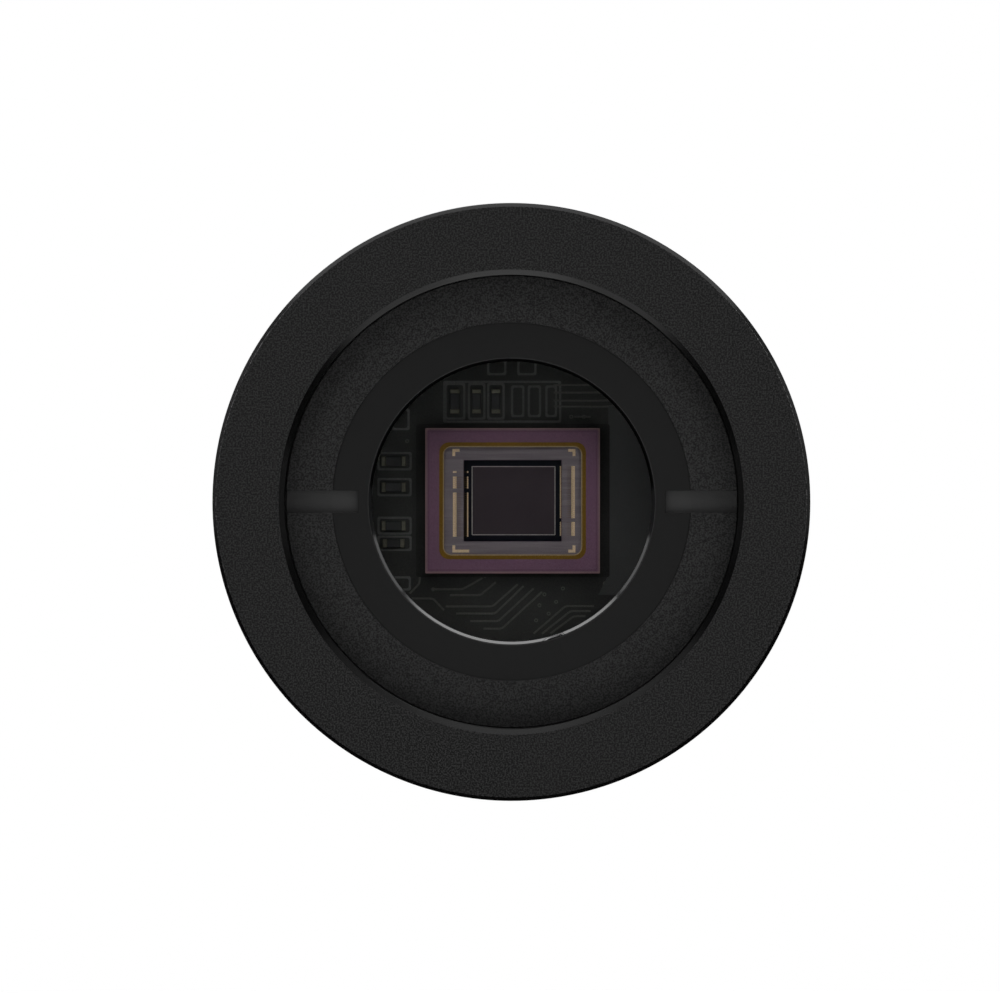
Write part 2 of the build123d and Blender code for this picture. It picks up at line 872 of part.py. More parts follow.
with BuildPart() as fan_frame:
    with BuildSketch(station(cover_y)):
        RectangleRounded(fan_size, fan_size, fan_corner)
        Circle(fan_bore_r, mode=Mode.SUBTRACT)
        with Locations(*fan_corner_places):
            Circle(screw_r + thread_clearance, mode=Mode.SUBTRACT)
    extrude(amount=fan_t)
    with BuildSketch(station(fan_y + fan_floor_t)):
        Circle(hub_r)
        for angle in (fan_strut_angle, fan_strut_angle + 90.0):
            with Locations(Location((0, 0, 0), (0, 0, angle))):
                Rectangle(2 * fan_bore_r + fan_wall, fan_strut_w)
    extrude(amount=fan_floor_t)
    with BuildSketch(station(bearing_places[1] + bearing_len)):
        Circle(bearing_tube_r)
        Circle(bearing_r, mode=Mode.SUBTRACT)
    extrude(amount=bearing_places[1] + bearing_len - fan_y - fan_floor_t)
save(fan_frame, "fan_frame")

with BuildPart() as fan_bearings:
    for front in bearing_places:
        with BuildSketch(station(front + bearing_len)):
            Circle(bearing_r)
            Circle(shaft_r + slip_gap, mode=Mode.SUBTRACT)
        extrude(amount=bearing_len)
save(fan_bearings, "fan_bearings")

with BuildPart() as fan_stator:
    stator_front = fan_y + fan_floor_t + stator_gap
    stator_back = rotor_back - hub_wall - stator_gap
    with BuildSketch(station(stator_back)):
        Circle(stator_r * stator_core)
        for index in range(stator_teeth):
            with Locations(Location((0, 0, 0), (0, 0, index * 360.0 / stator_teeth))):
                with Locations((stator_r / 2, 0)):
                    Rectangle(stator_r, stator_tooth_w)
        Circle(bearing_tube_r, mode=Mode.SUBTRACT)
    extrude(amount=stator_back - stator_front)
save(fan_stator, "fan_stator")

with BuildPart() as fan_rotor:
    blade_r = fan_bore_r - running_clearance
    blade_len = blade_r - hub_r + hub_wall / 2
    blade_span = rotor_back - rotor_front
    for index in range(blade_count):
        angle = index * 360.0 / blade_count
        radial = Plane(
            origin=(
                (hub_r - hub_wall / 2) * cos(radians(angle)),
                (rotor_front + rotor_back) / 2,
                (hub_r - hub_wall / 2) * sin(radians(angle)),
            ),
            x_dir=(0, 1, 0),
            z_dir=(cos(radians(angle)), 0, sin(radians(angle))),
        )
        with BuildSketch(radial):
            Rectangle(3 * blade_span, blade_t, rotation=blade_pitch)
        extrude(amount=blade_len + blade_t)
    with BuildSketch(station(rotor_back)):
        Circle(blade_r)
    extrude(amount=blade_span, mode=Mode.INTERSECT)
    with BuildSketch(station(rotor_back)):
        Circle(hub_r)
    extrude(amount=blade_span)
    with BuildSketch(station(rotor_back - hub_wall)):
        Circle(magnet_r)
    extrude(amount=blade_span, mode=Mode.SUBTRACT)
    with BuildSketch(station(rotor_back)):
        Circle(shaft_r)
    extrude(amount=hub_wall, mode=Mode.SUBTRACT)
save(fan_rotor, "fan_rotor")

save(ring(magnet_r - magnet_t, magnet_r, rotor_front, rotor_back - hub_wall), "fan_magnet")
shaft_front = bearing_places[0] + slip_gap
save(discs(shaft_r, shaft_front, rotor_back - shaft_front), "fan_shaft")

# ---------------------------------------------------------------- rear cover and its screws
grille_outer_r = fan_bore_r
grille_step = grille_rib + grille_gap
rib_count = int((grille_outer_r - grille_centre_r - grille_gap) // grille_step)

with BuildPart() as rear_cover:
    with BuildSketch(Plane.XY):
        with BuildLine():
            Polyline(
                (0, cover_y),
                (body_r, cover_y),
                (body_r, cover_back - edge_chamfer),
                (body_r - edge_chamfer, cover_back),
                (0, cover_back),
                close=True,
            )
        make_face()
    revolve(axis=Axis.Y)
    with BuildSketch(station(cover_back)):
        Circle(grille_outer_r)
        for index in range(rib_count + 1):
            rib_out = grille_outer_r - grille_gap - index * grille_step
            Circle(rib_out, mode=Mode.SUBTRACT)
            if index < rib_count:
                Circle(rib_out - grille_rib)
        Rectangle(2 * grille_outer_r, grille_spoke, mode=Mode.SUBTRACT)
        Rectangle(grille_spoke, 2 * grille_outer_r, mode=Mode.SUBTRACT)
    extrude(amount=cover_t, mode=Mode.SUBTRACT)
    with BuildSketch(station(cover_back)):
        with Locations((0, usb_z)):
            Rectangle(usb_w + 2 * fit_clearance, usb_h + 2 * fit_clearance)
        with Locations((0, jack_z)):
            Circle(jack_r + fit_clearance)
        with Locations((wheel_port_x, 0)):
            Circle(port_r + fit_clearance)
        with Locations((light_x, 0)):
            Circle(light_r + slip_gap)
        with Locations(*boss_places):
            Circle(screw_r + screw_clearance)
        with Locations(*fan_corner_places):
            Circle(screw_r + screw_clearance)
    extrude(amount=cover_t, mode=Mode.SUBTRACT)
    with BuildSketch(station(cover_back)):
        with Locations(*boss_places):
            Circle(2 * screw_r + screw_clearance)
        with Locations(*fan_corner_places):
            Circle(1.8 * screw_r + screw_clearance)
    extrude(amount=cover_t / 2, mode=Mode.SUBTRACT)
save(rear_cover, "rear_cover")

head_seat = cover_back - cover_t / 2
head_t = cover_t / 2 - seat_gap
cover_screw_len = cover_y - link_board_back - board_screw_bite - 0.5 + cover_t / 2
save(screws(boss_places, head_seat, screw_r, cover_screw_len, 2 * screw_r, head_t, 2.4), "cover_screws")
save(screws(fan_corner_places, head_seat, screw_r, screw_len, 1.8 * screw_r, head_t, 2.0), "fan_screws")

# ---------------------------------------------------------------- ports
with BuildPart() as usb_shell:
    with BuildSketch(station(port_face)):
        with Locations((0, usb_z)):
            Rectangle(usb_w, usb_h)
    extrude(amount=port_face - link_board_back)
    with BuildSketch(station(port_face)):
        with Locations((0, usb_z)):
            Rectangle(usb_w - 2 * usb_wall, usb_h - 2 * usb_wall)
    extrude(amount=port_face - link_board_back - usb_wall, mode=Mode.SUBTRACT)
save(usb_shell, "usb_shell")

with BuildPart() as usb_tongue:
    with BuildSketch(station(port_face - tongue_sink)):
        with Locations((0, usb_z - tongue_drop)):
            Rectangle(tongue_w, tongue_h)
        with Locations((0, usb_z + upper_rise)):
            Rectangle(upper_w, upper_h)
    extrude(amount=port_face - tongue_sink - link_board_back - usb_wall)
    with BuildSketch(station(link_board_back + usb_wall + tongue_root)):
        with Locations((0, usb_z)):
            Rectangle(usb_w - 2 * usb_wall, usb_h - 2 * usb_wall)
    extrude(amount=tongue_root)
save(usb_tongue, "usb_tongue")

with BuildPart() as power_jack:
    with BuildSketch(station(port_face)):
        with Locations((0, jack_z)):
            Circle(jack_r)
    extrude(amount=port_face - link_board_back)
    with BuildSketch(station(port_face)):
        with Locations((0, jack_z)):
            Circle(jack_bore_r)
    extrude(amount=port_face - link_board_back - port_floor, mode=Mode.SUBTRACT)
save(power_jack, "power_jack")

pin_tip = port_face - jack_pin_sink
pin_root = link_board_back + port_floor
save(discs(jack_pin_r, pin_root, pin_tip - pin_root, [(0, jack_z)]), "power_jack_pin")

with BuildPart() as filter_wheel_port:
    with BuildSketch(station(port_face)):
        with Locations((wheel_port_x, 0)):
            Circle(port_r)
    extrude(amount=port_face - link_board_back)
    with BuildSketch(station(port_face)):
        with Locations((wheel_port_x, 0)):
            Circle(port_r - port_wall)
    extrude(amount=port_face - link_board_back - port_floor, mode=Mode.SUBTRACT)
save(filter_wheel_port, "filter_wheel_port")

contact_half = contact_pitch / 2
contact_places = [
    (wheel_port_x + x, z) for x in (-contact_half, contact_half) for z in (-contact_half, contact_half)
]
save(discs(contact_r, pin_root, contact_len, contact_places), "filter_wheel_contacts")

light_len = cover_back - link_board_back
save(discs(light_r, link_board_back, light_len, [(light_x, 0)]), "status_light")
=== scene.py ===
import json
import math
import bmesh
import bpy
import numpy as np
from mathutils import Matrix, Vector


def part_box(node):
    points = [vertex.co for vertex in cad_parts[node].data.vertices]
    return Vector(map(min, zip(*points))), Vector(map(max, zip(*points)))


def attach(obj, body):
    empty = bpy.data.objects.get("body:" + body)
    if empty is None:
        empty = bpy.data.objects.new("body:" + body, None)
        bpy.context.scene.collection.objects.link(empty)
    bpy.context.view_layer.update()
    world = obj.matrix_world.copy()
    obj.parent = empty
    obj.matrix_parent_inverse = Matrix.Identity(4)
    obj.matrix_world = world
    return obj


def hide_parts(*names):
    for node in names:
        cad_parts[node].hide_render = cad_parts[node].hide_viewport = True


# A cooled astronomy camera seen along its optical axis. The axis is Y, light enters at y = 0.
# Shapes are worked out in millimetres and written to their meshes in metres. A shape is
# (points, faces), faces being rows of four point numbers.

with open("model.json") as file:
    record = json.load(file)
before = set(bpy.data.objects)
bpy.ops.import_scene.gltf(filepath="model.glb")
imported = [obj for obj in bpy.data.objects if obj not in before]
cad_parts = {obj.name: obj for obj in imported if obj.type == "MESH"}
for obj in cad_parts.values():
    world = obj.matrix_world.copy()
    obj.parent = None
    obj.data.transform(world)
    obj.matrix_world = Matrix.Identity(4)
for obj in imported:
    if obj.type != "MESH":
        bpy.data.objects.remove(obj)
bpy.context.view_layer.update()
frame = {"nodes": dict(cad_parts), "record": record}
metre = 0.001
turn = 2 * math.pi
slotOf = {part["node"]: part["material_slot"] for part in frame["record"]["subparts"]}
mountOf = {mount["name"]: mount for mount in frame["record"]["mounts"]}


def boxOf(node):  # lowest and highest corner of a CAD node, in millimetres
    low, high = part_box(node)
    return np.array(low) / metre, np.array(high) / metre


def skin(points, roundRows=False, roundColumns=True):
    # a grid of points, rows by columns, with a quad between each four neighbours
    rows, columns = points.shape[:2]
    number = np.arange(rows * columns).reshape(rows, columns)
    if roundRows:
        number = np.vstack([number, number[:1]])
    if roundColumns:
        number = np.hstack([number, number[:, :1]])
    corners = [number[:-1, :-1], number[:-1, 1:], number[1:, 1:], number[1:, :-1]]
    return points.reshape(-1, 3), np.stack(corners, axis=-1).reshape(-1, 4)


def joined(shapes):
    # several shapes as one, each one's faces counted on from the points before it
    starts = np.cumsum([0] + [len(points) for points, faces in shapes[:-1]])
    allPoints = np.vstack([points for points, faces in shapes])
    return allPoints, np.vstack([faces + start for (points, faces), start in zip(shapes, starts)])


def copied(shape, places):
    # one copy of a shape moved to each place
    points, faces = shape
    moved = (points[None] + np.asarray(places, float)[:, None]).reshape(-1, 3)
    return moved, (faces[None] + len(points) * np.arange(len(places))[:, None, None]).reshape(-1, 4)


def spun(shape, degrees):
    # one copy of a shape turned about the optical axis by each angle
    points, faces = shape
    angle = np.radians(np.atleast_1d(degrees))[:, None]
    x, y, z = points[None, :, 0], points[None, :, 1], points[None, :, 2]
    turned = np.stack([
        x * np.cos(angle) - z * np.sin(angle),
        y + 0 * angle,
        x * np.sin(angle) + z * np.cos(angle),
    ], axis=-1).reshape(-1, 3)
    return turned, (faces[None] + len(points) * np.arange(len(angle))[:, None, None]).reshape(-1, 4)


def placed(shape, origin, outward):
    # a shape drawn along +Y, moved to an origin with its +Y laid along outward
    along = np.asarray(outward, float) / np.linalg.norm(outward)
    side = np.cross(along, [0.0, 0.0, 1.0])
    side = np.array([1.0, 0.0, 0.0]) if np.linalg.norm(side) < 0.1 else side / np.linalg.norm(side)
    up = np.cross(side, along)
    points, faces = shape
    return points @ np.stack([side, along, up]) + np.asarray(origin, float), faces


def eased(corners, radius, steps=3):
    # an outline whose corners are replaced by short curves: each starts a radius before the
    # corner, ends a radius after it, and bends towards it as a parabola does
    corners = np.asarray(corners, float)
    before, after = np.roll(corners, 1, axis=0), np.roll(corners, -1, axis=0)
    backward, forward = before - corners, after - corners
    backLength = np.linalg.norm(backward, axis=1, keepdims=True)
    frontLength = np.linalg.norm(forward, axis=1, keepdims=True)
    start = corners + backward * np.minimum(radius / backLength, 0.45)
    end = corners + forward * np.minimum(radius / frontLength, 0.45)
    t = np.linspace(0, 1, steps + 1)[None, :, None]
    curve = (1 - t) ** 2 * start[:, None] + 2 * t * (1 - t) * corners[:, None] + t ** 2 * end[:, None]
    return np.vstack([corners[:1], curve[1:-1].reshape(-1, corners.shape[1]), corners[-1:]])


def ringPoints(radius, depth, angle):
    # points (radius cos angle, depth, radius sin angle) about the optical axis
    return np.stack(np.broadcast_arrays(radius * np.cos(angle), depth, radius * np.sin(angle)), axis=-1)


roundSteps = 240


def lathe(profile, steps=roundSteps, roundRows=False):
    # (radius, depth) points carried once round the optical axis
    profile = np.asarray(profile, float)
    angle = np.arange(steps) * turn / steps
    return skin(ringPoints(profile[:, :1], profile[:, 1:], angle), roundRows)


def circle(radius, count):
    angle = np.arange(count) * turn / count
    return np.stack([radius * np.cos(angle), radius * np.sin(angle)], axis=-1)


def roundedBox(width, height, corner, count=6):
    # a rectangle's outline with quarter circles at its corners
    corner = max(corner, 1e-4)
    angle = np.linspace(0, turn / 4, count)
    arc = corner * np.stack([np.cos(angle), np.sin(angle)], axis=-1)
    quarter = np.arange(4) * turn / 4
    spin = np.stack([np.cos(quarter), -np.sin(quarter), np.sin(quarter), np.cos(quarter)], axis=-1)
    signs = np.array([[1, 1], [-1, 1], [-1, -1], [1, -1]])
    centres = signs * (np.array([width, height]) / 2 - corner)
    return (centres[:, None] + arc @ spin.reshape(4, 2, 2).transpose(0, 2, 1)).reshape(-1, 2)


def plate(outlineOf, front, back, bevel):
    # a flat piece across the axis: from a centre point out to the outline set in by the bevel,
    # over the bevelled edge, along the side, and back in on the other face
    setIns = [bevel, 0.0, 0.0, bevel]
    depths = [front, front + bevel, back - bevel, back]
    rows = [np.insert(outlineOf(inset), 1, depth, axis=1) for inset, depth in zip(setIns, depths)]
    middle = rows[0].mean(axis=0)
    caps = [np.tile([middle[0], depth, middle[2]], (len(rows[0]), 1)) for depth in (front, back)]
    return skin(np.stack([caps[0], *rows, caps[1]]))


def block(width, height, front, back, bevel=0.05):
    return plate(lambda inset: roundedBox(width - 2 * inset, height - 2 * inset, bevel - inset, 3),
                 front, back, bevel)


def stacked(rows):
    # outlines laid across the axis, each at its own depth, and joined one to the next
    return skin(np.stack([np.insert(outline, 1, depth, axis=1) for outline, depth in rows]))


def band(outerOf, innerOf, front, back):
    # a flat loop: round the outer edge, across the face, down the inner edge and back
    rows = [np.insert(outerOf, 1, front, axis=1), np.insert(innerOf, 1, front, axis=1)]
    rows += [np.insert(innerOf, 1, back, axis=1), np.insert(outerOf, 1, back, axis=1)]
    return skin(np.stack(rows), roundRows=True)


def helix(radius, depth, pitch, start, end, steps=roundSteps):
    # a screw thread: the radius grows by a triangle wave of depth and angle together, which
    # fades out at both ends of the thread
    rowsPerTurn = 8
    rows = int((end - start) / pitch * rowsPerTurn) + 1
    along = np.linspace(start, end, rows)[:, None]
    angle = (np.arange(steps) * turn / steps)[None]
    phase = (along / pitch - angle / turn) % 1.0
    fade = np.clip(np.minimum(along - start, end - along) / (0.6 * pitch), 0, 1)
    return skin(ringPoints(radius + depth * fade * (1 - np.abs(2 * phase - 1)), along, angle))


def hexagon(radius, count):
    # the outline of a hexagon, as far across flats as twice the radius, by its distance at each angle
    angle = np.arange(count) * turn / count
    reach = radius / np.cos((angle + turn / 12) % (turn / 6) - turn / 12)
    return np.stack([reach * np.cos(angle), reach * np.sin(angle)], axis=-1)


def capScrew(head, headHeight, shank, length, key):
    # a screw along +Y: tip, shank, underside, eased rim, then down into a six-sided socket
    count, rim = 36, min(0.18, headHeight / 4)
    return stacked([
        (circle(1e-4, count), -length), (circle(shank * 0.8, count), -length),
        (circle(shank, count), -length + shank * 0.3), (circle(shank, count), 0.0),
        (circle(head, count), 0.0), (circle(head, count), headHeight - rim),
        (circle(head - 0.3 * rim, count), headHeight - 0.3 * rim), (circle(head - rim, count), headHeight),
        (hexagon(key + 0.08, count), headHeight), (hexagon(key, count), headHeight - 0.08),
        (hexagon(key, count), headHeight * 0.35), (circle(1e-4, count), headHeight * 0.25),
    ])


def weld(mesh, flatten=False):
    # double points merged, then either flat neighbours joined or every face turned outward
    shell = bmesh.new()
    shell.from_mesh(mesh)
    bmesh.ops.remove_doubles(shell, verts=shell.verts, dist=0.0008 * metre)
    if flatten:
        bmesh.ops.dissolve_limit(shell, angle_limit=math.radians(0.5), verts=shell.verts, edges=shell.edges)
    else:
        bmesh.ops.recalc_face_normals(shell, faces=shell.faces)
    shell.to_mesh(mesh)
    shell.free()


sharpAngle = 32.0


def settle(name, mesh, material, body, replaces):
    # smooth faces with sharp edges, a material, and a body to ride on
    mesh.polygons.foreach_set("use_smooth", np.ones(len(mesh.polygons), bool))
    mesh.set_sharp_from_angle(angle=math.radians(sharpAngle))
    mesh.materials.clear()
    mesh.materials.append(material)
    piece = bpy.data.objects.new(name, mesh)
    bpy.context.scene.collection.objects.link(piece)
    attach(piece, body)
    if replaces:
        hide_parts(*replaces)
    return piece


def evened(piece):
    # normals weighted by face area, so that a flat face beside a curved edge stays flat
    even = piece.modifiers.new("evenNormals", "WEIGHTED_NORMAL")
    even.keep_sharp, even.weight = True, 100
    return piece


def addPiece(name, shape, material, body="camera", replaces=()):
    points, faces = shape
    mesh = bpy.data.meshes.new(name)
    mesh.from_pydata((points * metre).tolist(), [], faces.tolist())
    weld(mesh)
    return evened(settle(name, mesh, material, body, replaces))


def dressed(name, node, material, body="camera", bevel=0.08, least=sharpAngle):
    # a CAD node's own shape as one welded mesh, its edges broken where they turn by the least angle
    mesh = frame["nodes"][node].data.copy()
    weld(mesh, flatten=True)
    piece = settle(name, mesh, material, body, (node,))
    edge = piece.modifiers.new("brokenEdges", "BEVEL")
    edge.width, edge.segments, edge.limit_method = bevel * metre, 2, "ANGLE"
    edge.angle_limit = math.radians(least)
    return evened(piece)


def addNode(tree, kind, inputs=None, **settings):
    node = tree.nodes.new(kind)
    for key, value in settings.items():
        setattr(node, key, value)
    for key, value in (inputs or {}).items():
        if isinstance(value, bpy.types.NodeSocket):
            tree.links.new(value, node.inputs[key])
        else:
            node.inputs[key].default_value = value
    return node


def newFinish(name):
    material = bpy.data.materials.new(name)
    material.use_nodes = True
    tree = material.node_tree
    point = addNode(tree, "ShaderNodeTexCoord").outputs["Object"]
    return material, tree, tree.nodes["Principled BSDF"], point


def noise(tree, vector, size, detail=2.0):  # size is the grain in millimetres
    return addNode(tree, "ShaderNodeTexNoise", {
        "Vector": vector, "Scale": 1 / (size * metre), "Detail": detail}).outputs["Fac"]


def spread(tree, value, low, high, start=0.35, end=0.65):
    node = addNode(tree, "ShaderNodeMapRange", {
        "Value": value, "From Min": start, "From Max": end, "To Min": low, "To Max": high})
    return node.outputs["Result"]


def passing(tree, value, place, blur, low=0.0, high=1.0):
    # goes from low to high as a distance passes a place, both in millimetres, over a blur each side
    return spread(tree, value, low, high, (place - blur) * metre, (place + blur) * metre)


def reckoned(tree, operation, first, second):
    return addNode(tree, "ShaderNodeMath", {0: first, 1: second}, operation=operation).outputs[0]


def blendColour(tree, share, first, second):
    # each colour is a socket, a red, green and blue, or one number for a grey
    node = addNode(tree, "ShaderNodeMix", {0: share}, data_type="RGBA")
    for socket, value in ((node.inputs[6], first), (node.inputs[7], second)):
        if isinstance(value, bpy.types.NodeSocket):
            tree.links.new(value, socket)
        else:
            socket.default_value = (*value, 1.0) if isinstance(value, tuple) else (value, value, value, 1.0)
    return node.outputs[2]


def axisDistance(tree, point):  # how far a point lies from the optical axis, in metres
    parts = addNode(tree, "ShaderNodeSeparateXYZ", {"Vector": point})
    flat = addNode(tree, "ShaderNodeCombineXYZ", {"X": parts.outputs["X"], "Z": parts.outputs["Z"]})
    length = addNode(tree, "ShaderNodeVectorMath", {0: flat.outputs["Vector"]}, operation="LENGTH")
    return length.outputs["Value"]


def raised(tree, shader, height, distance):
    bump = addNode(tree, "ShaderNodeBump", {
        "Height": height, "Distance": distance * metre, "Strength": 1.0})
    tree.links.new(bump.outputs["Normal"], shader.inputs["Normal"])


def grainFinish(name, look):
    # colour and bump from a fine grain, roughness and a slow drift of colour from a coarse one;
    # turned lines run round the axis, and drawn lines run along it
    material, tree, shader, point = newFinish(name)
    size = look["grain"]
    fine = noise(tree, point, size)
    coarse = noise(tree, point, look.get("patch", 30 * size), 3.0)
    if look.get("turned"):
        reach = axisDistance(tree, point)
        line = addNode(tree, "ShaderNodeCombineXYZ", {"X": reach})
        fine = noise(tree, line.outputs["Vector"], look["turned"])
    if look.get("lined"):
        level = addNode(tree, "ShaderNodeMapping", {"Vector": point, "Scale": (0.04, 1.0, 1.0)})
        fine = noise(tree, level.outputs["Vector"], look["lined"])
    if look.get("drawn"):
        narrow = addNode(tree, "ShaderNodeMapping", {"Vector": point, "Scale": (1.0, 0.03, 1.0)})
        fine = noise(tree, narrow.outputs["Vector"], look["drawn"])
    colour = blendColour(tree, spread(tree, fine, 0.0, 1.0), look["dark"], look["light"])
    drift = spread(tree, coarse, 0.0, look.get("drift", 0.25))
    colour = blendColour(tree, drift, colour, look.get("stain", look["dark"]))
    tree.links.new(colour, shader.inputs["Base Color"])
    tree.links.new(spread(tree, coarse, *look["rough"], 0.3, 0.7), shader.inputs["Roughness"])
    raised(tree, shader, fine, look["bump"])
    shader.inputs["Metallic"].default_value = look.get("metal", 0.0)
    shader.inputs["Specular IOR Level"].default_value = look.get("shine", 0.5)
    shader.inputs["Coat Weight"].default_value = look.get("coat", 0.0)
    return material


finishLooks = {  # colours are linear, a single number being a grey; grain and bump are in millimetres
    "blasted_anodised": dict(
        dark=0.002, light=0.034, grain=0.2, bump=0.045, rough=(0.52, 0.58), shine=0.45, drift=0.0),
    "low_friction_plastic": dict(
        dark=(0.62, 0.6, 0.55), light=(0.74, 0.72, 0.67), grain=0.2, bump=0.003, rough=(0.35, 0.5)),
    "seal_rubber": dict(dark=0.012, light=0.022, grain=0.1, bump=0.004, rough=(0.55, 0.7)),
    "component_body": dict(
        dark=(0.01, 0.01, 0.011), light=(0.024, 0.024, 0.025), grain=0.06, bump=0.004,
        rough=(0.4, 0.55)),
    "plated_steel": dict(
        dark=(0.45, 0.45, 0.46), light=0.62, grain=0.05, bump=0.0015, rough=(0.18, 0.3), metal=1.0,
        drawn=0.08),
    "screw_steel": dict(
        dark=(0.035, 0.035, 0.037), light=(0.075, 0.075, 0.078), grain=0.08, bump=0.002,
        rough=(0.3, 0.42), metal=1.0),
    "connector_plastic": dict(dark=0.014, light=0.028, grain=0.08, bump=0.003, rough=(0.4, 0.55)),
    "copper": dict(
        dark=(0.52, 0.23, 0.12), light=(0.74, 0.38, 0.24), grain=0.1, bump=0.002, rough=(0.25, 0.4),
        metal=1.0, drawn=0.1, stain=(0.3, 0.12, 0.06)),
    "foam": dict(dark=0.012, light=0.05, grain=0.25, bump=0.06, rough=(0.8, 0.95)),
    "white_ceramic": dict(
        dark=(0.66, 0.66, 0.64), light=(0.8, 0.8, 0.78), grain=0.12, bump=0.003, rough=(0.4, 0.5)),
    "pellet_alloy": dict(
        dark=(0.16, 0.155, 0.16), light=(0.3, 0.29, 0.3), grain=0.1, bump=0.004, rough=(0.4, 0.55),
        metal=1.0),
    "desiccant": dict(
        dark=(0.6, 0.6, 0.57), light=(0.82, 0.82, 0.8), grain=0.18, bump=0.03, rough=(0.8, 0.9)),
    "bare_aluminium": dict(
        dark=(0.42, 0.43, 0.44), light=(0.62, 0.63, 0.64), grain=0.1, bump=0.002, rough=(0.28, 0.4),
        metal=1.0, turned=0.06),
    "fan_plastic": dict(dark=0.012, light=0.022, grain=0.12, bump=0.004, rough=(0.38, 0.5)),
    "magnet": dict(dark=0.05, light=0.1, grain=0.08, bump=0.004, rough=(0.5, 0.65)),
    "blue_plastic": dict(
        dark=(0.01, 0.07, 0.33), light=(0.016, 0.1, 0.42), grain=0.1, bump=0.002, rough=(0.3, 0.4)),
    "light_pipe": dict(
        dark=(0.55, 0.62, 0.56), light=(0.7, 0.76, 0.7), grain=0.1, bump=0.003, rough=(0.35, 0.45)),
    "gold_plate": dict(
        dark=(0.52, 0.36, 0.13), light=(0.72, 0.53, 0.24), grain=0.05, bump=0.001, rough=(0.3, 0.42),
        metal=1.0),
    "silicon": dict(
        dark=(0.0018, 0.0028, 0.0065), light=(0.003, 0.0045, 0.0095), grain=0.05, bump=0.0002,
        rough=(0.3, 0.4), shine=0.1),
    "board_laminate": dict(
        dark=(0.028, 0.028, 0.0265), light=(0.041, 0.041, 0.0385), grain=0.14, bump=0.003,
        rough=(0.5, 0.6), shine=0.2),
    "label_film": dict(dark=0.056, light=0.068, grain=0.1, bump=0.001, rough=(0.5, 0.6), shine=0.2),
    "heater_film": dict(
        dark=(0.4, 0.16, 0.03), light=(0.55, 0.24, 0.05), grain=0.3, bump=0.002, rough=(0.3, 0.4)),
    "ribbon_film": dict(
        dark=(0.38, 0.16, 0.03), light=(0.52, 0.24, 0.06), grain=0.3, bump=0.002, rough=(0.3, 0.4),
        drawn=0.5),
    "lid_edge": dict(
        dark=(0.21, 0.12, 0.125), light=(0.29, 0.165, 0.17), grain=0.08, bump=0.003,
        rough=(0.45, 0.55)),
    # the package's colour is partly the ceramic's own dark colour and partly a painted purple reflection of
    # the lid's coating
    "package_ceramic": dict(
        dark=(0.145, 0.066, 0.108), light=(0.19, 0.088, 0.142), grain=0.12, bump=0.002,
        rough=(0.4, 0.5)),
    "shelf": dict(
        dark=(0.165, 0.143, 0.148), light=(0.235, 0.208, 0.208), grain=0.25, lined=0.3, bump=0.004,
        rough=(0.35, 0.5)),
    "array": dict(
        dark=(0.04, 0.031, 0.034), light=(0.05, 0.039, 0.043), grain=0.06, bump=0.0004,
        rough=(0.35, 0.45), shine=0.2),
    "arrayLine": dict(
        dark=(0.36, 0.345, 0.3), light=(0.48, 0.46, 0.41), grain=0.2, bump=0.001, rough=(0.3, 0.4)),
    # painted highlight: a paler gold for the bright line of light along the seal's inner edge
    "brightGold": dict(
        dark=(0.32, 0.24, 0.1), light=(0.46, 0.35, 0.16), grain=0.2, bump=0.001, rough=(0.35, 0.5)),
    # painted shade: a darker copy of the package ceramic, for the shaded line just inside its rim
    "grooveShade": dict(
        dark=(0.115, 0.05, 0.085), light=(0.15, 0.067, 0.112), grain=0.12, bump=0.001,
        rough=(0.4, 0.5)),
    "dimGold": dict(
        dark=(0.165, 0.088, 0.003), light=(0.225, 0.122, 0.009), shine=0.15, grain=0.2, bump=0.001,
        rough=(0.35, 0.5)),
    "paleGold": dict(
        dark=(0.8, 0.62, 0.34), light=(0.95, 0.76, 0.44), grain=0.1, bump=0.001, rough=(0.35, 0.5)),
    "boardInk": dict(
        dark=(0.085, 0.085, 0.083), light=(0.125, 0.125, 0.121), grain=0.12, bump=0.002,
        rough=(0.6, 0.7), shine=0.3),
    "maskedCopper": dict(
        dark=(0.06, 0.06, 0.053), light=(0.095, 0.093, 0.083), grain=0.15, bump=0.002,
        rough=(0.4, 0.5), shine=0.4),
    "skirtBlack": dict(
        dark=(0.022, 0.021, 0.02), light=(0.032, 0.031, 0.029), grain=0.1, bump=0.003,
        rough=(0.6, 0.7), shine=0.15),
    "dullTin": dict(
        dark=(0.1, 0.095, 0.07), light=(0.165, 0.155, 0.118), grain=0.12, bump=0.006,
        rough=(0.4, 0.55), metal=0.2),
    "floor": dict(
        dark=0.86, light=0.88, grain=1.5, bump=0.004, rough=(0.68, 0.72), drift=0.0, shine=0.2),
    "flag": dict(dark=0.002, light=0.004, grain=0.5, bump=0.01, rough=(0.9, 1.0), shine=0.0),
}


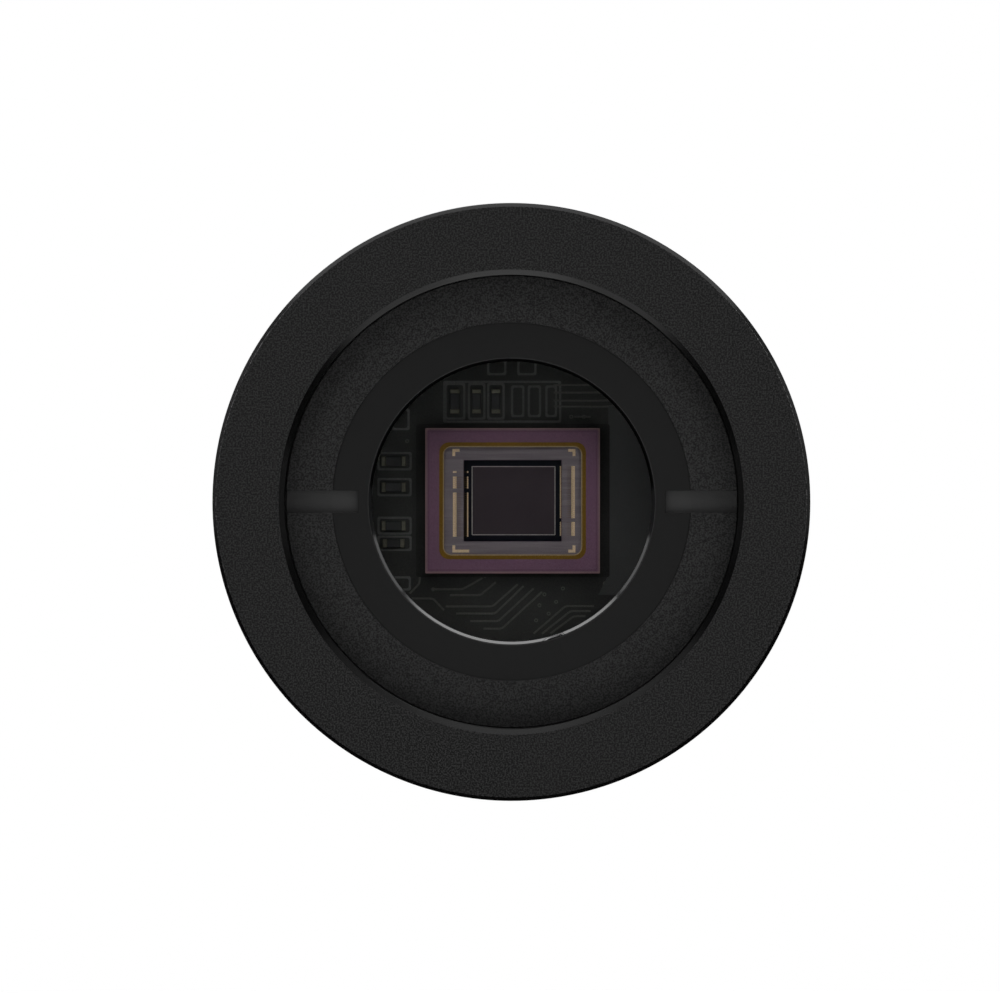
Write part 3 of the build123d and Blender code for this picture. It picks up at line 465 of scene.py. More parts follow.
def housingFinish():
    # blasted all over, but smooth where it is turned after blasting: the outer edge, the mouth
    # of the nose and its thread
    look = dict(mouth=27.22, rim=34.58, edge=0.5, grain=0.20)
    material, tree, shader, point = newFinish("housing_anodised")
    reach = axisDistance(tree, point)
    depth = addNode(tree, "ShaderNodeSeparateXYZ", {"Vector": point}).outputs["Y"]
    inMouth = passing(tree, reach, look["mouth"], 0.02, 1.0, 0.0)
    onRim = passing(tree, reach, look["rim"], 0.02)
    onRim = reckoned(tree, "MULTIPLY", onRim, passing(tree, depth, look["edge"], 0.05, 1.0, 0.0))
    smooth = reckoned(tree, "MAXIMUM", inMouth, onRim)
    fine = noise(tree, point, look["grain"])
    blasted = blendColour(tree, spread(tree, fine, 0.0, 1.0, 0.44, 0.58), 0.0005, 0.029)
    turned = blendColour(tree, spread(tree, noise(tree, point, 0.4), 0.0, 1.0), 0.0022, 0.0034)
    tree.links.new(blendColour(tree, smooth, blasted, turned), shader.inputs["Base Color"])
    tree.links.new(spread(tree, smooth, 0.55, 0.18, 0.0, 1.0), shader.inputs["Roughness"])
    rough = reckoned(tree, "SUBTRACT", 1.0, smooth)
    raised(tree, shader, reckoned(tree, "MULTIPLY", reckoned(tree, "SUBTRACT", fine, 0.5), rough), 0.065)
    shader.inputs["Specular IOR Level"].default_value = 0.40
    return material


def ringFinish():
    # blasted outside the step, fine turned lines inside it, bare metal on the cut edge at the
    # aperture, and paler on the floor of the two milled slots
    look = dict(step=21.1, edge=16.9, slotStart=18.0, slotDeep=1.0, grain=0.19, line=0.05)
    front = boxOf("window_retaining_ring")[0][1]
    material, tree, shader, point = newFinish("ring_anodised")
    reach = axisDistance(tree, point)
    depth = addNode(tree, "ShaderNodeSeparateXYZ", {"Vector": point}).outputs["Y"]
    outside = passing(tree, reach, look["step"], 0.05)
    cut = reckoned(tree, "MULTIPLY", passing(tree, reach, look["edge"], 0.03, 1.0, 0.0),
                   passing(tree, depth, front + 0.035, 0.015))
    milled = reckoned(tree, "MULTIPLY", passing(tree, depth, front + look["slotDeep"] + 0.05, 0.05),
                      passing(tree, reach, look["slotStart"], 0.1))
    fine = noise(tree, point, look["grain"])
    blasted = blendColour(tree, spread(tree, fine, 0.0, 1.0, 0.38, 0.62), 0.002, 0.037)
    line = addNode(tree, "ShaderNodeCombineXYZ", {"X": reach})
    lines = noise(tree, line.outputs["Vector"], look["line"])
    smooth = blendColour(tree, spread(tree, lines, 0.0, 1.0), 0.0052, 0.0078)
    colour = blendColour(tree, milled, blendColour(tree, outside, smooth, blasted), 0.060)
    tree.links.new(blendColour(tree, cut, colour, 0.22), shader.inputs["Base Color"])
    plain = spread(tree, outside, 0.48, 0.55, 0.0, 1.0)
    rough = addNode(tree, "ShaderNodeMix", {0: cut, 2: plain, 3: 0.11})
    tree.links.new(rough.outputs[0], shader.inputs["Roughness"])
    tree.links.new(cut, shader.inputs["Metallic"])
    raised(tree, shader, reckoned(tree, "MULTIPLY", reckoned(tree, "SUBTRACT", fine, 0.5), outside), 0.04)
    shader.inputs["Specular IOR Level"].default_value = 0.4
    return material


def glassFinish(name, tint):
    # clear, with a faint slow haze in its tint
    material, tree, shader, point = newFinish(name)
    shader.inputs["Transmission Weight"].default_value = 1.0
    shader.inputs["IOR"].default_value = 1.18
    shader.inputs["Roughness"].default_value = 0.0
    haze = spread(tree, noise(tree, point, 2.0, 3.0), 0.0, 1.0)
    hazy = tuple(0.985 * part for part in tint)
    tree.links.new(blendColour(tree, haze, tint, hazy), shader.inputs["Base Color"])
    return material


finishes = {name: grainFinish(name, look) for name, look in finishLooks.items()}
finishes["ring_anodised"] = ringFinish()
finishes["housing_anodised"] = housingFinish()
finishes["coated_glass"] = glassFinish("coated_glass", (0.97, 0.985, 0.98))
finishes["lid_glass"] = glassFinish("lid_glass", (0.96, 0.93, 0.97))
for name, node in frame["nodes"].items():
    node.data.materials.clear()
    node.data.materials.append(finishes[slotOf[name]])
print("stage: finishes made")


housing = dict(  # millimetres, and degrees for the port's half angle
    chamfer=0.45, leadIn=0.65, leadDepth=0.375, relief=0.4, reliefWidth=0.6, threadPitch=0.75,
    threadDepth=0.38, ease=0.02, webAperture=17.0, portHalfAngle=12.0, portHalfDepth=7.5,
    portRadius=5.4, portSink=2.8, portThread=3.55)


def cellEdge(halfAngle, halfDepth, radius, steps, rises):
    # the outline of a cell of the barrel, seen from outside: along, up, back and down
    angles = np.radians(np.linspace(-halfAngle, halfAngle, steps + 1))
    heights = np.linspace(-halfDepth, halfDepth, rises + 1)
    low, high = np.full(steps, heights[0]), np.full(steps, heights[-1])
    first, last = np.full(rises, angles[0]), np.full(rises, angles[-1])
    angle = np.concatenate([angles[:-1], last, angles[:0:-1], first])
    height = np.concatenate([low, heights[:-1], high, heights[:0:-1]])
    return np.stack([radius * np.sin(angle), height], axis=-1)


def onBarrel(outline, radius):
    # lateral and depth positions laid on the cylinder of that radius, outward along +X
    return np.stack([np.sqrt(radius ** 2 - outline[:, 0] ** 2), outline[:, 1], outline[:, 0]], axis=-1)


def onFlat(outline, level):
    return np.stack([np.full(len(outline), level), outline[:, 1], outline[:, 0]], axis=-1)


def reachOutline(edge, halfWidth, halfLength):
    # a slot's outline, met by the rays from the middle to a cell's edge; equal sizes give a circle
    angle = np.arctan2(edge[:, 1], edge[:, 0])
    straight = halfLength - halfWidth
    sideReach = halfWidth / np.maximum(np.abs(np.cos(angle)), 1e-9)
    climb = straight * np.abs(np.sin(angle))
    endReach = climb + np.sqrt(np.maximum(halfWidth ** 2 - (straight * np.cos(angle)) ** 2, 0))
    onSide = sideReach * np.abs(np.sin(angle)) <= straight
    reach = np.where(onSide, sideReach, endReach)
    return np.stack([reach * np.cos(angle), reach * np.sin(angle)], axis=-1)


def between(first, second, shares):
    return [first * (1 - share) + second * share for share in shares]


def barrel(radius, depths, openCells):
    # a cylinder in cells, left open where a pierced cell goes
    angle = np.arange(roundSteps) * turn / roundSteps
    depths = np.asarray(depths, float)[:, None]
    points, faces = skin(ringPoints(radius, depths, angle))
    faces = faces.reshape(len(depths) - 1, roundSteps, 4)
    keep = np.ones(faces.shape[:2], bool)
    column = np.arange(roundSteps)
    middle = (depths[:-1, 0] + depths[1:, 0]) / 2
    for centre, halfAngle, low, high in openCells:
        away = ((column + 0.5) * 360 / roundSteps - centre + 180) % 360 - 180
        keep &= ~((np.abs(away) < halfAngle)[None] & ((middle > low) & (middle < high))[:, None])
    return points, faces[keep]


def frontHousing():
    size = housing
    outer, back = boxOf("front_housing")[1][:2]
    nose = mountOf["nose_thread"]["dims"]["r_mm"]
    ringFront, ringBack = boxOf("window_retaining_ring")[0][1], boxOf("slip_washer")[0][1]
    pocket = boxOf("window_glass")[1][0] + 0.2
    seat = boxOf("window_glass")[1][1] + 0.1
    aperture = size["webAperture"]
    web = boxOf("dew_heater")[0][1]
    chamber = boxOf("sensor_board")[1][0] + 1.0
    portDepth = (boxOf("desiccant_plug")[0][1] + boxOf("desiccant_plug")[1][1]) / 2
    threadEnd = ringFront - size["reliefWidth"]
    mouth = eased([(outer, size["chamfer"]), (outer - size["chamfer"], 0), (nose + size["leadIn"], 0),
                   (nose, size["leadDepth"])], size["ease"])
    inside = eased([
        (nose, threadEnd), (nose + size["relief"], threadEnd), (nose + size["relief"], ringFront),
        (nose, ringFront), (nose, ringBack), (pocket, ringBack), (pocket, seat), (aperture, seat),
        (aperture, web), (chamber, web), (chamber, back), (outer - size["chamfer"], back),
        (outer, back - size["chamfer"])], size["ease"])
    # the barrel with the drying port let into its right side
    halfAngle, halfDepth = size["portHalfAngle"], size["portHalfDepth"]
    steps, rises = int(2 * halfAngle * roundSteps / 360), 10
    edge = cellEdge(halfAngle, halfDepth, outer, steps, rises)
    rim = reachOutline(edge, size["portRadius"], size["portRadius"])
    lip = rim * (1 + 0.15 / size["portRadius"])
    hole = rim * size["portThread"] / size["portRadius"]
    floor = outer - size["portSink"]
    rows = between(onBarrel(edge, outer), onBarrel(lip, outer), [0, 0.35, 0.7, 1])
    rows += [onBarrel(lip * 0.6 + rim * 0.4, outer - 0.03), onBarrel(rim, outer - 0.12), onFlat(rim, floor)]
    rows += [onFlat(hole, floor), onFlat(hole, chamber + 0.4), onFlat(hole * 1e-3, chamber + 0.4)]
    port = np.stack(rows)
    port[:, :, 1] += portDepth
    levels = np.linspace(portDepth - halfDepth, portDepth + halfDepth, rises + 1)
    depths = np.concatenate([np.linspace(size["chamfer"], levels[0], 8)[:-1], levels,
                             np.linspace(levels[-1], back - size["chamfer"], 3)[1:]])
    shell = barrel(outer, depths, [(0.0, halfAngle, levels[0], levels[-1])])
    thread = helix(nose, size["threadDepth"], size["threadPitch"], size["leadDepth"], threadEnd)
    return joined([lathe(mouth), thread, lathe(inside), shell, skin(port)])


addPiece("frontHousing", frontHousing(), finishes["housing_anodised"], replaces=["front_housing"])
dressed("windowRing", "window_retaining_ring", finishes["ring_anodised"], "window_ring", bevel=0.05,
        least=60.0)
print("stage: front housing and window ring made")


def discPiece(node, bevel):
    low, high = boxOf(node)
    return lathe([(1e-4, low[1]), (high[0] - bevel, low[1]), (high[0], low[1] + bevel),
                  (high[0], high[1] - bevel), (high[0] - bevel, high[1]), (1e-4, high[1])])


window = addPiece("windowGlass", discPiece("window_glass", 0.25), finishes["coated_glass"],
                  replaces=["window_glass"])
window.visible_shadow = False


def sealRing(node):
    # a round section carried round the axis
    low, high = boxOf(node)
    section = (high[1] - low[1]) / 2
    return lathe(circle(section, 16) + [high[0] - section, (low[1] + high[1]) / 2], roundRows=True)


for node in ("window_seal", "chamber_seal"):
    addPiece(node.split("_")[0] + "Seal", sealRing(node), finishes["seal_rubber"], replaces=[node])


sensorLook = dict(
    markReach=(7.33, 6.17), markShift=0.15, markLong=0.85, markWide=0.34, longArm=2.0,
    padWide=0.43, padPitch=0.24, padHigh=0.215, diePadWide=0.15, arrayWide=9.97, arrayHigh=8.22,
    arrayShift=0.10, lineWide=0.09, film=0.012, wire=0.014, sealWall=0.57, shelfDrop=0.75)
padRows = [  # runs of pads from low to high, and how far across the package's and the die's pads stand
    ([(3.3, 3.65), (1.45, 2.85), (-4.3, 1.0)], -6.9, -5.37),
    ([(-2.1, 4.1), (-4.2, -2.5)], 7.2, 5.70)]


def padHeights(runs):
    # pad centres at an even pitch inside each run
    pitch = sensorLook["padPitch"]
    return np.concatenate([np.arange(low + pitch / 2, high, pitch) for low, high in runs])


def sensorMarks(shelf):
    # four corner marks, each a long and a short arm; the lower left one has a longer foot
    look = sensorLook
    wide, film = look["markWide"], look["film"]
    shapes = []
    for right in (-1, 1):
        for up in (-1, 1):
            x = right * look["markReach"][0] + look["markShift"]
            z = up * look["markReach"][1]
            foot = look["longArm"] if (right, up) == (-1, -1) else look["markLong"]
            across = block(foot, wide, shelf - film, shelf, 0.004)
            upright = block(wide, look["markLong"] - wide, shelf - film, shelf, 0.004)
            shapes.append(copied(across, [(x - right * foot / 2, 0, z - up * wide / 2)]))
            middle = z - up * (look["markLong"] + wide) / 2
            shapes.append(copied(upright, [(x - right * wide / 2, 0, middle)]))
    return joined(shapes)


def sensorPads(shelf, dieFace):
    look = sensorLook
    film = look["film"]
    packagePad = block(look["padWide"], look["padHigh"], shelf - film, shelf, 0.004)
    diePad = block(look["diePadWide"], look["padHigh"], dieFace - film, dieFace, 0.004)
    shapes = []
    for runs, outerAt, innerAt in padRows:
        heights = padHeights(runs)
        zero = np.zeros_like(heights)
        shapes.append(copied(packagePad, np.stack([zero + outerAt, zero, heights], axis=-1)))
        shapes.append(copied(diePad, np.stack([zero + innerAt, zero, heights], axis=-1)))
    return joined(shapes)


def bondWires(shelf, dieFace):
    # each wire rises from its package pad as a parabola and lands on its die pad; its section
    # is a small square carried along
    look = sensorLook
    t = np.linspace(0, 1, 9)[None, :, None]
    shapes = []
    for runs, outerAt, innerAt in padRows:
        heights = padHeights(runs)[:, None, None]
        x = outerAt + (innerAt - outerAt) * t
        y = shelf + (dieFace - shelf) * t - 0.9 * t * (1 - t) - 0.02
        corner = np.array([(-1, -1), (1, -1), (1, 1), (-1, 1)]) * look["wire"]
        points = np.stack([x + 0 * heights + 0 * corner[:, 0], y + 0 * heights + corner[:, 0],
                           heights + 0 * t + corner[:, 1]], axis=-1)
        shapes += [skin(wire) for wire in points]
    return joined(shapes)


def outlineLoop(width, height, line, front, back, corner=0.05):
    inner = roundedBox(width - 2 * line, height - 2 * line, corner)
    return band(roundedBox(width, height, corner), inner, front, back)


def sensorCase(shelf):
    # the ceramic package with its stepped cavity, the plated shelf, the gold seal with a painted highlight
    # at its inner edge, the front rim, and a band of painted shade inside the rim
    low, high = boxOf("sensor_package")
    sealLow, sealHigh = boxOf("sensor_lid_seal")
    die = boxOf("sensor_die")[1] * 2
    front, back = low[1], high[1]
    wide, tall = high[0] * 2, high[2] * 2
    sealWide, sealTall = sealHigh[0] * 2, sealHigh[2] * 2
    wall, rimWide, shadeBandWide = sensorLook["sealWall"], 0.52, 1.00
    outer = roundedBox(wide, tall, 0.1)
    cavity = roundedBox(sealWide - 2 * wall, sealTall - 2 * wall, 0.85)
    pocket = roundedBox(die[0] + 0.08, die[2] + 0.08, 0.05)
    ceramic = stacked([
        (outer * 0, back), (outer, back), (outer, front + 0.05), (outer * 0.997, front),
        (cavity * 1.004, front), (cavity, front + 0.05), (cavity, shelf), (pocket, shelf),
        (pocket, back - 0.3), (pocket * 0, back - 0.3)])
    # its finish carries a painted purple reflection of the lid's coating over the ceramic's own colour
    addPiece("sensorPackage", ceramic, finishes["package_ceramic"], replaces=["sensor_package"])
    plated = band(cavity * 0.999, pocket * 1.001, shelf - 0.02, shelf + 0.05)
    addPiece("sensorShelf", plated, finishes["shelf"])
    gold = band(roundedBox(sealWide, sealTall, 1.16), cavity, sealLow[1] + 0.02, sealHigh[1])
    addPiece("lidSeal", gold, finishes["dimGold"], replaces=["sensor_lid_seal"])
    # a thin band at the seal's inner edge in paler gold: a painted highlight
    highlightEdge = roundedBox(sealWide - 2 * wall + 0.26, sealTall - 2 * wall + 0.26, 1.0)
    highlightBand = band(highlightEdge, cavity, sealLow[1] + 0.012, sealHigh[1])
    addPiece("sealEdge", highlightBand, finishes["brightGold"])
    rimEdge = roundedBox(wide - rimWide, tall - rimWide, 0.1)
    rim = band(outer * 0.9995, rimEdge, front - 0.02, front + 0.03)
    addPiece("packageRim", rim, finishes["lid_edge"])
    # a flat band just inside the rim, painted darker: painted shade standing for a groove's shadow
    shadeBandEdge = roundedBox(wide - shadeBandWide, tall - shadeBandWide, 0.1)
    shadeBand = band(rimEdge, shadeBandEdge, front - 0.015, front + 0.03)
    addPiece("packageGroove", shadeBand, finishes["grooveShade"])


def sensorFace(shelf):
    # the die with its image area, the marks, pads and wires round it, and the lid over them
    look = sensorLook
    dieLow, dieHigh = boxOf("sensor_die")
    lidLow, lidHigh = boxOf("sensor_lid")
    dieFace, film, line = dieLow[1], look["film"], look["lineWide"]
    wide, high = look["arrayWide"], look["arrayHigh"]
    die = block(dieHigh[0] * 2, dieHigh[2] * 2, dieFace, dieHigh[1], 0.02)
    addPiece("sensorDie", die, finishes["silicon"], replaces=["sensor_die"])
    array = block(wide - 2 * line, high - 2 * line, dieFace - film, dieFace + 0.005, 0.003)
    aside = [(look["arrayShift"], 0, 0)]
    addPiece("imageArea", copied(array, aside), finishes["array"])
    edge = outlineLoop(wide, high, line, dieFace - 1.2 * film, dieFace + 0.002)
    addPiece("arrayEdge", copied(edge, aside), finishes["arrayLine"])
    addPiece("sensorMarks", sensorMarks(shelf - 0.02), finishes["paleGold"])
    addPiece("sensorPads", sensorPads(shelf - 0.02, dieFace), finishes["paleGold"])
    addPiece("bondWires", bondWires(shelf - 0.03, dieFace), finishes["dimGold"])
    lid = block(lidHigh[0] * 2, lidHigh[2] * 2, lidLow[1], lidHigh[1], 0.06)
    addPiece("sensorLid", lid, finishes["lid_glass"], replaces=["sensor_lid"]).visible_shadow = False


shelfLevel = boxOf("sensor_lid_seal")[1][1] + sensorLook["shelfDrop"]
sensorCase(shelfLevel)
sensorFace(shelfLevel)
print("stage: image sensor made")


boardMarks = dict(
    line=0.26, rise=0.02, trace=0.24, traceRise=0.03,
    outlines=[  # middle x, middle z, width, height of each printed outline, from the board's middle
        (-1.15, 12.1, 14.1, 5.0), (-6.8, 12.15, 2.5, 4.4), (-4.2, 12.15, 2.1, 4.4), (-1.9, 12.15, 2.1, 4.4),
        (0.7, 12.15, 1.6, 3.8), (2.7, 12.15, 1.6, 3.8), (4.7, 12.15, 1.4, 3.8),
        (-1.8, 16.2, 2.3, 1.9), (1.8, 16.2, 2.3, 1.9), (-14.0, 5.0, 4.1, 2.2), (-14.0, 1.9, 4.1, 2.2),
        (-14.0, -2.7, 4.1, 2.15), (-14.0, -4.8, 4.1, 1.85), (-13.3, 10.0, 2.2, 2.6),
        (-13.2, -9.6, 2.3, 1.7)],
    chips=[  # middle x, middle z, length, width, 1 where it stands upright
        (-6.8, 12.15, 2.9, 1.15, 1), (-4.2, 12.15, 2.9, 1.05, 1), (-1.9, 12.15, 2.9, 1.05, 1),
        (-14.1, 5.0, 2.9, 1.15, 0), (-14.1, 1.9, 2.9, 1.15, 0), (-14.1, -2.7, 2.9, 1.15, 0),
        (-14.1, -4.8, 2.6, 1.0, 0)],
    chipRise=0.55, chipEnd=0.5,
    traces=[  # corner points of each copper run under the mask
        [(5.0, 14.1), (10.9, 14.1)], [(5.0, 13.2), (11.6, 13.2)], [(5.0, 12.25), (12.15, 12.25)],
        [(5.0, 11.55), (12.6, 11.55)], [(-9.6, -10.3), (-5.9, -10.3), (-3.5, -8.95)],
        [(-7.4, -11.0), (-3.75, -11.0), (-1.9, -9.45)], [(-7.9, -12.35), (-2.3, -12.35), (0.7, -9.7)],
        [(-6.65, -13.2), (-2.0, -13.2), (1.4, -9.9)], [(-5.0, -14.1), (-1.6, -14.1), (2.6, -10.2)],
        [(-3.4, -15.0), (-1.2, -15.0), (3.6, -10.6)], [(2.6, -15.6), (6.4, -12.3), (9.8, -12.3)],
        [(3.6, -15.6), (7.0, -12.9), (9.4, -12.9)], [(4.6, -15.6), (7.4, -13.5), (8.8, -13.5)],
        [(-12.0, -11.4), (-9.4, -11.4), (-8.1, -12.8)], [(-11.0, -7.6), (-11.0, -9.6), (-12.2, -10.8)],
        [(-10.9, 8.6), (-10.9, 7.2)], [(7.4, 10.3), (9.4, 10.3)]],
    vias=[(3.3, -12.2), (4.4, -13.2), (3.9, -10.9), (5.3, -11.8), (8.6, 10.3), (7.1, 10.3),
          (-10.9, 6.9), (-11.0, -7.3), (-9.4, -10.3), (11.1, -9.6), (-3.2, -8.7), (2.9, -14.0),
          (6.1, -10.2), (-12.5, 7.4)],
    viaRadius=0.24,
    skirt=(2.3, 1.0, 0.15),  # past the package's width and height, and its rise
    shift=(-0.12, -0.30),
)


def ribbon(path, wide, level, rise):
    # a raised run along corner points: each point is moved aside by half the width along the
    # mean of its two normals, lengthened so that the run keeps its width round the corner
    path = eased(np.asarray(path, float), 0.35, 3) if len(path) > 2 else np.asarray(path, float)
    step = np.diff(path, axis=0)
    normal = np.stack([-step[:, 1], step[:, 0]], axis=-1) / np.linalg.norm(step, axis=1, keepdims=True)
    normal = np.vstack([normal[:1], (normal[:-1] + normal[1:]) / 2, normal[-1:]])
    normal /= np.sum(normal ** 2, axis=1, keepdims=True)
    top = level - rise
    sides = [(-wide / 2, level), (-wide / 2 + rise, top), (wide / 2 - rise, top), (wide / 2, level)]
    columns = [np.insert(path + normal * aside, 1, height, axis=1) for aside, height in sides]
    grid = np.stack(columns, axis=1)
    ends = [np.repeat(grid[edge].mean(axis=0)[None, None], len(sides), axis=1) for edge in (0, -1)]
    return skin(np.concatenate([ends[0], grid, ends[1]]))


def chipParts(look, face):
    # small components: a body, and a plated cap wrapped over each end
    bodies, caps = [], []
    for x, z, length, width, upright in look["chips"]:
        end, rise = look["chipEnd"], look["chipRise"]
        size = (width * 0.94, length - 2 * end) if upright else (length - 2 * end, width * 0.94)
        capSize = (width, end) if upright else (end, width)
        shift = (length - end) / 2
        bodies.append(copied(block(*size, face - rise * 0.94, face, 0.05), [(x, 0, z)]))
        places = [(x, 0, z + side * shift) if upright else (x + side * shift, 0, z) for side in (-1, 1)]
        caps.append(copied(block(*capSize, face - rise, face, 0.07), places))
    return joined(bodies), joined(caps)


def sensorBoardDetail():
    look = boardMarks
    face = boxOf("sensor_board")[0][1]
    package = boxOf("sensor_package")[1]
    top = face - look["rise"]
    marks = [copied(outlineLoop(width, height, look["line"], top, face + 0.01, 0.25), [(x, 0, z)])
             for x, z, width, height in look["outlines"]]
    aside = [(look["shift"][0], 0, look["shift"][1])]
    addPiece("boardOutlines", copied(joined(marks), aside), finishes["boardInk"])
    runs = [ribbon(path, look["trace"], face, look["traceRise"]) for path in look["traces"]]
    addPiece("boardTraces", copied(joined(runs), aside), finishes["maskedCopper"])
    radius = look["viaRadius"]
    ring = band(circle(radius, 14), circle(radius * 0.45, 14), face - 0.035, face + 0.01)
    vias = copied(copied(ring, [(x, 0, z) for x, z in look["vias"]]), aside)
    addPiece("boardVias", vias, finishes["maskedCopper"])
    bodies, caps = chipParts(look, face)
    addPiece("chipBodies", copied(bodies, aside), finishes["component_body"],
             replaces=["sensor_board_capacitors", "sensor_board_resistors"])
    addPiece("chipEnds", copied(caps, aside), finishes["dullTin"])
    skirt = look["skirt"]
    gasket = band(roundedBox(package[0] * 2 + skirt[0], package[2] * 2 + skirt[1], 0.3),
                  roundedBox(package[0] * 2, package[2] * 2, 0.1), face - skirt[2], face + 0.01)
    addPiece("packageSkirt", gasket, finishes["skirtBlack"])


sensorBoardDetail()
print("stage: sensor board made")


fanShape = dict(  # millimetres, and degrees for the pitch and the sweep
    blades=7, sections=14, loop=18, chordIn=9.6, chordOut=12.2, pitchIn=44.0, pitchOut=27.0,
    sweep=16.0, thick=0.62, camber=0.07, rim=0.8, clear=0.25)


def fanBlade(hub, tip, front, back):
    # a blade over span s and section angle a: the chord point is (1 - cos a) / 2, thickness follows
    # sin a thinned towards the trailing edge, the camber is a parabola, and the chord is pitched
    # and swept as s grows, then wrapped round the hub
    look = fanShape
    s = np.concatenate([np.linspace(0, 1, look["sections"]), [1.0]])[:, None]
    fullness = np.concatenate([np.ones(look["sections"]), [0.02]])[:, None]
    a = (np.arange(look["loop"]) * turn / look["loop"])[None]
    u = (1 - np.cos(a)) / 2
    chord = look["chordIn"] + (look["chordOut"] - look["chordIn"]) * s
    pitch = np.radians(look["pitchIn"] + (look["pitchOut"] - look["pitchIn"]) * s)
    height = look["thick"] * fullness * np.sin(a) * (1 - 0.55 * u)
    height = height + look["camber"] * chord * 4 * u * (1 - u)
    along = (u - 0.5) * chord
    around = along * np.cos(pitch) - height * np.sin(pitch)
    axial = along * np.sin(pitch) + height * np.cos(pitch)
    axial = np.clip(axial, (front - back) / 2 + look["clear"], (back - front) / 2 - look["clear"])
    radius = hub + (tip - hub) * s + 0 * a
    angle = around / radius + np.radians(look["sweep"]) * s ** 1.5
    return skin(ringPoints(radius, (front + back) / 2 + axial, angle))


def fanRotor():
    low, high = boxOf("fan_rotor")
    magnet = boxOf("fan_magnet")[1]
    hub, wall, shaft = magnet[0] + 1.0, magnet[0], boxOf("fan_shaft")[1][0]
    tip = high[0]
    rim = fanShape["rim"]
    outline = [(wall, low[1]), (hub - 0.15, low[1]), (hub, low[1] + 0.15), (hub, high[1] - rim),
               (hub - rim, high[1]), (4.9, high[1]), (4.6, high[1] - 0.25),
               (shaft + 0.3, high[1] - 0.25), (shaft, high[1] - 0.1), (shaft, magnet[1]),
               (wall, magnet[1])]
    cup = lathe(eased(outline, 0.3), 120, roundRows=True)
    blade = fanBlade(hub - 0.4, tip, low[1], high[1])
    return joined([cup, spun(blade, np.arange(fanShape["blades"]) * 360 / fanShape["blades"])])


addPiece("fanRotor", fanRotor(), finishes["fan_plastic"], "fan", replaces=["fan_rotor"])
print("stage: fan made")


# rear parts that keep their CAD shape with broken edges: node, finish, bevel
rearParts = {
    "heatSink": ("heat_sink", "bare_aluminium", 0.15),
    "rearHousing": ("rear_housing", "blasted_anodised", 0.12),
    "rearCover": ("rear_cover", "blasted_anodised", 0.10),
    "fanFrame": ("fan_frame", "fan_plastic", 0.15),
    "usbShell": ("usb_shell", "plated_steel", 0.08),
    "usbTongue": ("usb_tongue", "blue_plastic", 0.10),
    "powerJack": ("power_jack", "plated_steel", 0.10),
    "filterWheelPort": ("filter_wheel_port", "plated_steel", 0.10),
    "statusLight": ("status_light", "light_pipe", 0.12),
}
for name, (node, finish, bevel) in rearParts.items():
    dressed(name, node, finishes[finish], bevel=bevel)


screwSets = dict(  # node, head radius, key radius, shank radius
    coverScrews=("cover_screws", 2.0, 1.04, 1.0), fanScrews=("fan_screws", 1.8, 0.87, 1.0))


def rearScrews(node, head, key, shank):
    # cap screws at the corners of the node's box, heads towards the back
    low, high = boxOf(node)
    seat = boxOf("rear_cover")[0][1] + 1.5
    reach = high[0] - head
    screw = capScrew(head, high[1] - seat, shank, seat - low[1], key)
    return copied(screw, [(x * reach, seat, z * reach) for x in (-1, 1) for z in (-1, 1)])


for name, (node, head, key, shank) in screwSets.items():
    addPiece(name, rearScrews(node, head, key, shank), finishes["screw_steel"], replaces=[node])


def sideScrews():
    # button screws let into the side at each quarter, on the diagonals
    low, high = boxOf("side_screws")
    middle, head = (low[1] + high[1]) / 2, (high[1] - low[1]) / 2
    reach = boxOf("rear_housing")[1][0] - 1.2
    angle = np.radians([45, 135, 225, 315])
    screw = capScrew(head, 1.1, 1.0, 3.8, 0.95)
    return joined([placed(screw, (reach * np.cos(a), middle, reach * np.sin(a)), (np.cos(a), 0, np.sin(a)))
                   for a in angle])


addPiece("sideScrews", sideScrews(), finishes["screw_steel"], replaces=["side_screws"])


def contactStrips():
    # four gold strips under the tongue of the data socket
    low, high = boxOf("usb_tongue")
    middle = (low[2] + high[2]) / 2
    back = high[1]
    strip = block(0.7, 0.16, back - 5.0, back - 0.35, 0.04)
    lower = [(x, 0, middle - 1.72) for x in (-2.9, -1.0, 1.0, 2.9)]
    return copied(strip, lower)


addPiece("usbContacts", contactStrips(), finishes["gold_plate"])


def dryingPlug():
    # an eased head with a six-sided key, and a short thread that carries on into the chamber
    low, high = boxOf("desiccant_plug")
    head, thick, thread, pitch = high[2], 1.3, 3.5, 0.75
    seat = high[0] - thick
    top = stacked([
        (circle(head - 0.25, 72), 0.0), (circle(head, 72), 0.25), (circle(head, 72), thick - 0.33),
        (circle(head - 0.09, 72), thick - 0.09), (circle(head - 0.33, 72), thick),
        (hexagon(2.12, 72), thick), (hexagon(1.99, 72), thick - 0.13), (hexagon(1.99, 72), -0.9),
        (circle(1e-3, 72), -0.95)])
    length = seat - low[0]
    screw = helix(thread, -0.32, pitch, -length + 0.3, -0.95, 72)
    rounds = [  # under the head, the collar at the seal's groove, and the tip: radius and level
        [(head - 0.25, 0.0), (thread - 0.12, 0.0), (thread - 0.12, -0.95)],
        [(thread - 0.12, -0.95), (thread, -0.95)],
        [(thread, -length + 0.3), (thread - 0.3, -length), (1e-3, -length)]]
    under, collar, tip = [stacked([(circle(radius, 72), level) for radius, level in rows])
                          for rows in rounds]
    return placed(joined([top, under, collar, screw, tip]), (seat, (low[1] + high[1]) / 2, 0.0), (1, 0, 0))


addPiece("desiccantPlug", dryingPlug(), finishes["blasted_anodised"], "desiccant_plug",
         replaces=["desiccant_plug"])
print("stage: rear parts made")


shot = dict(  # metres, and millimetres for the lens and its sensor
    distance=0.90, lens=276.98, sensor=36.0, right=-0.00134, up=0.00022, lean=(0.0107, 0.0087),
    focus=0.0025)


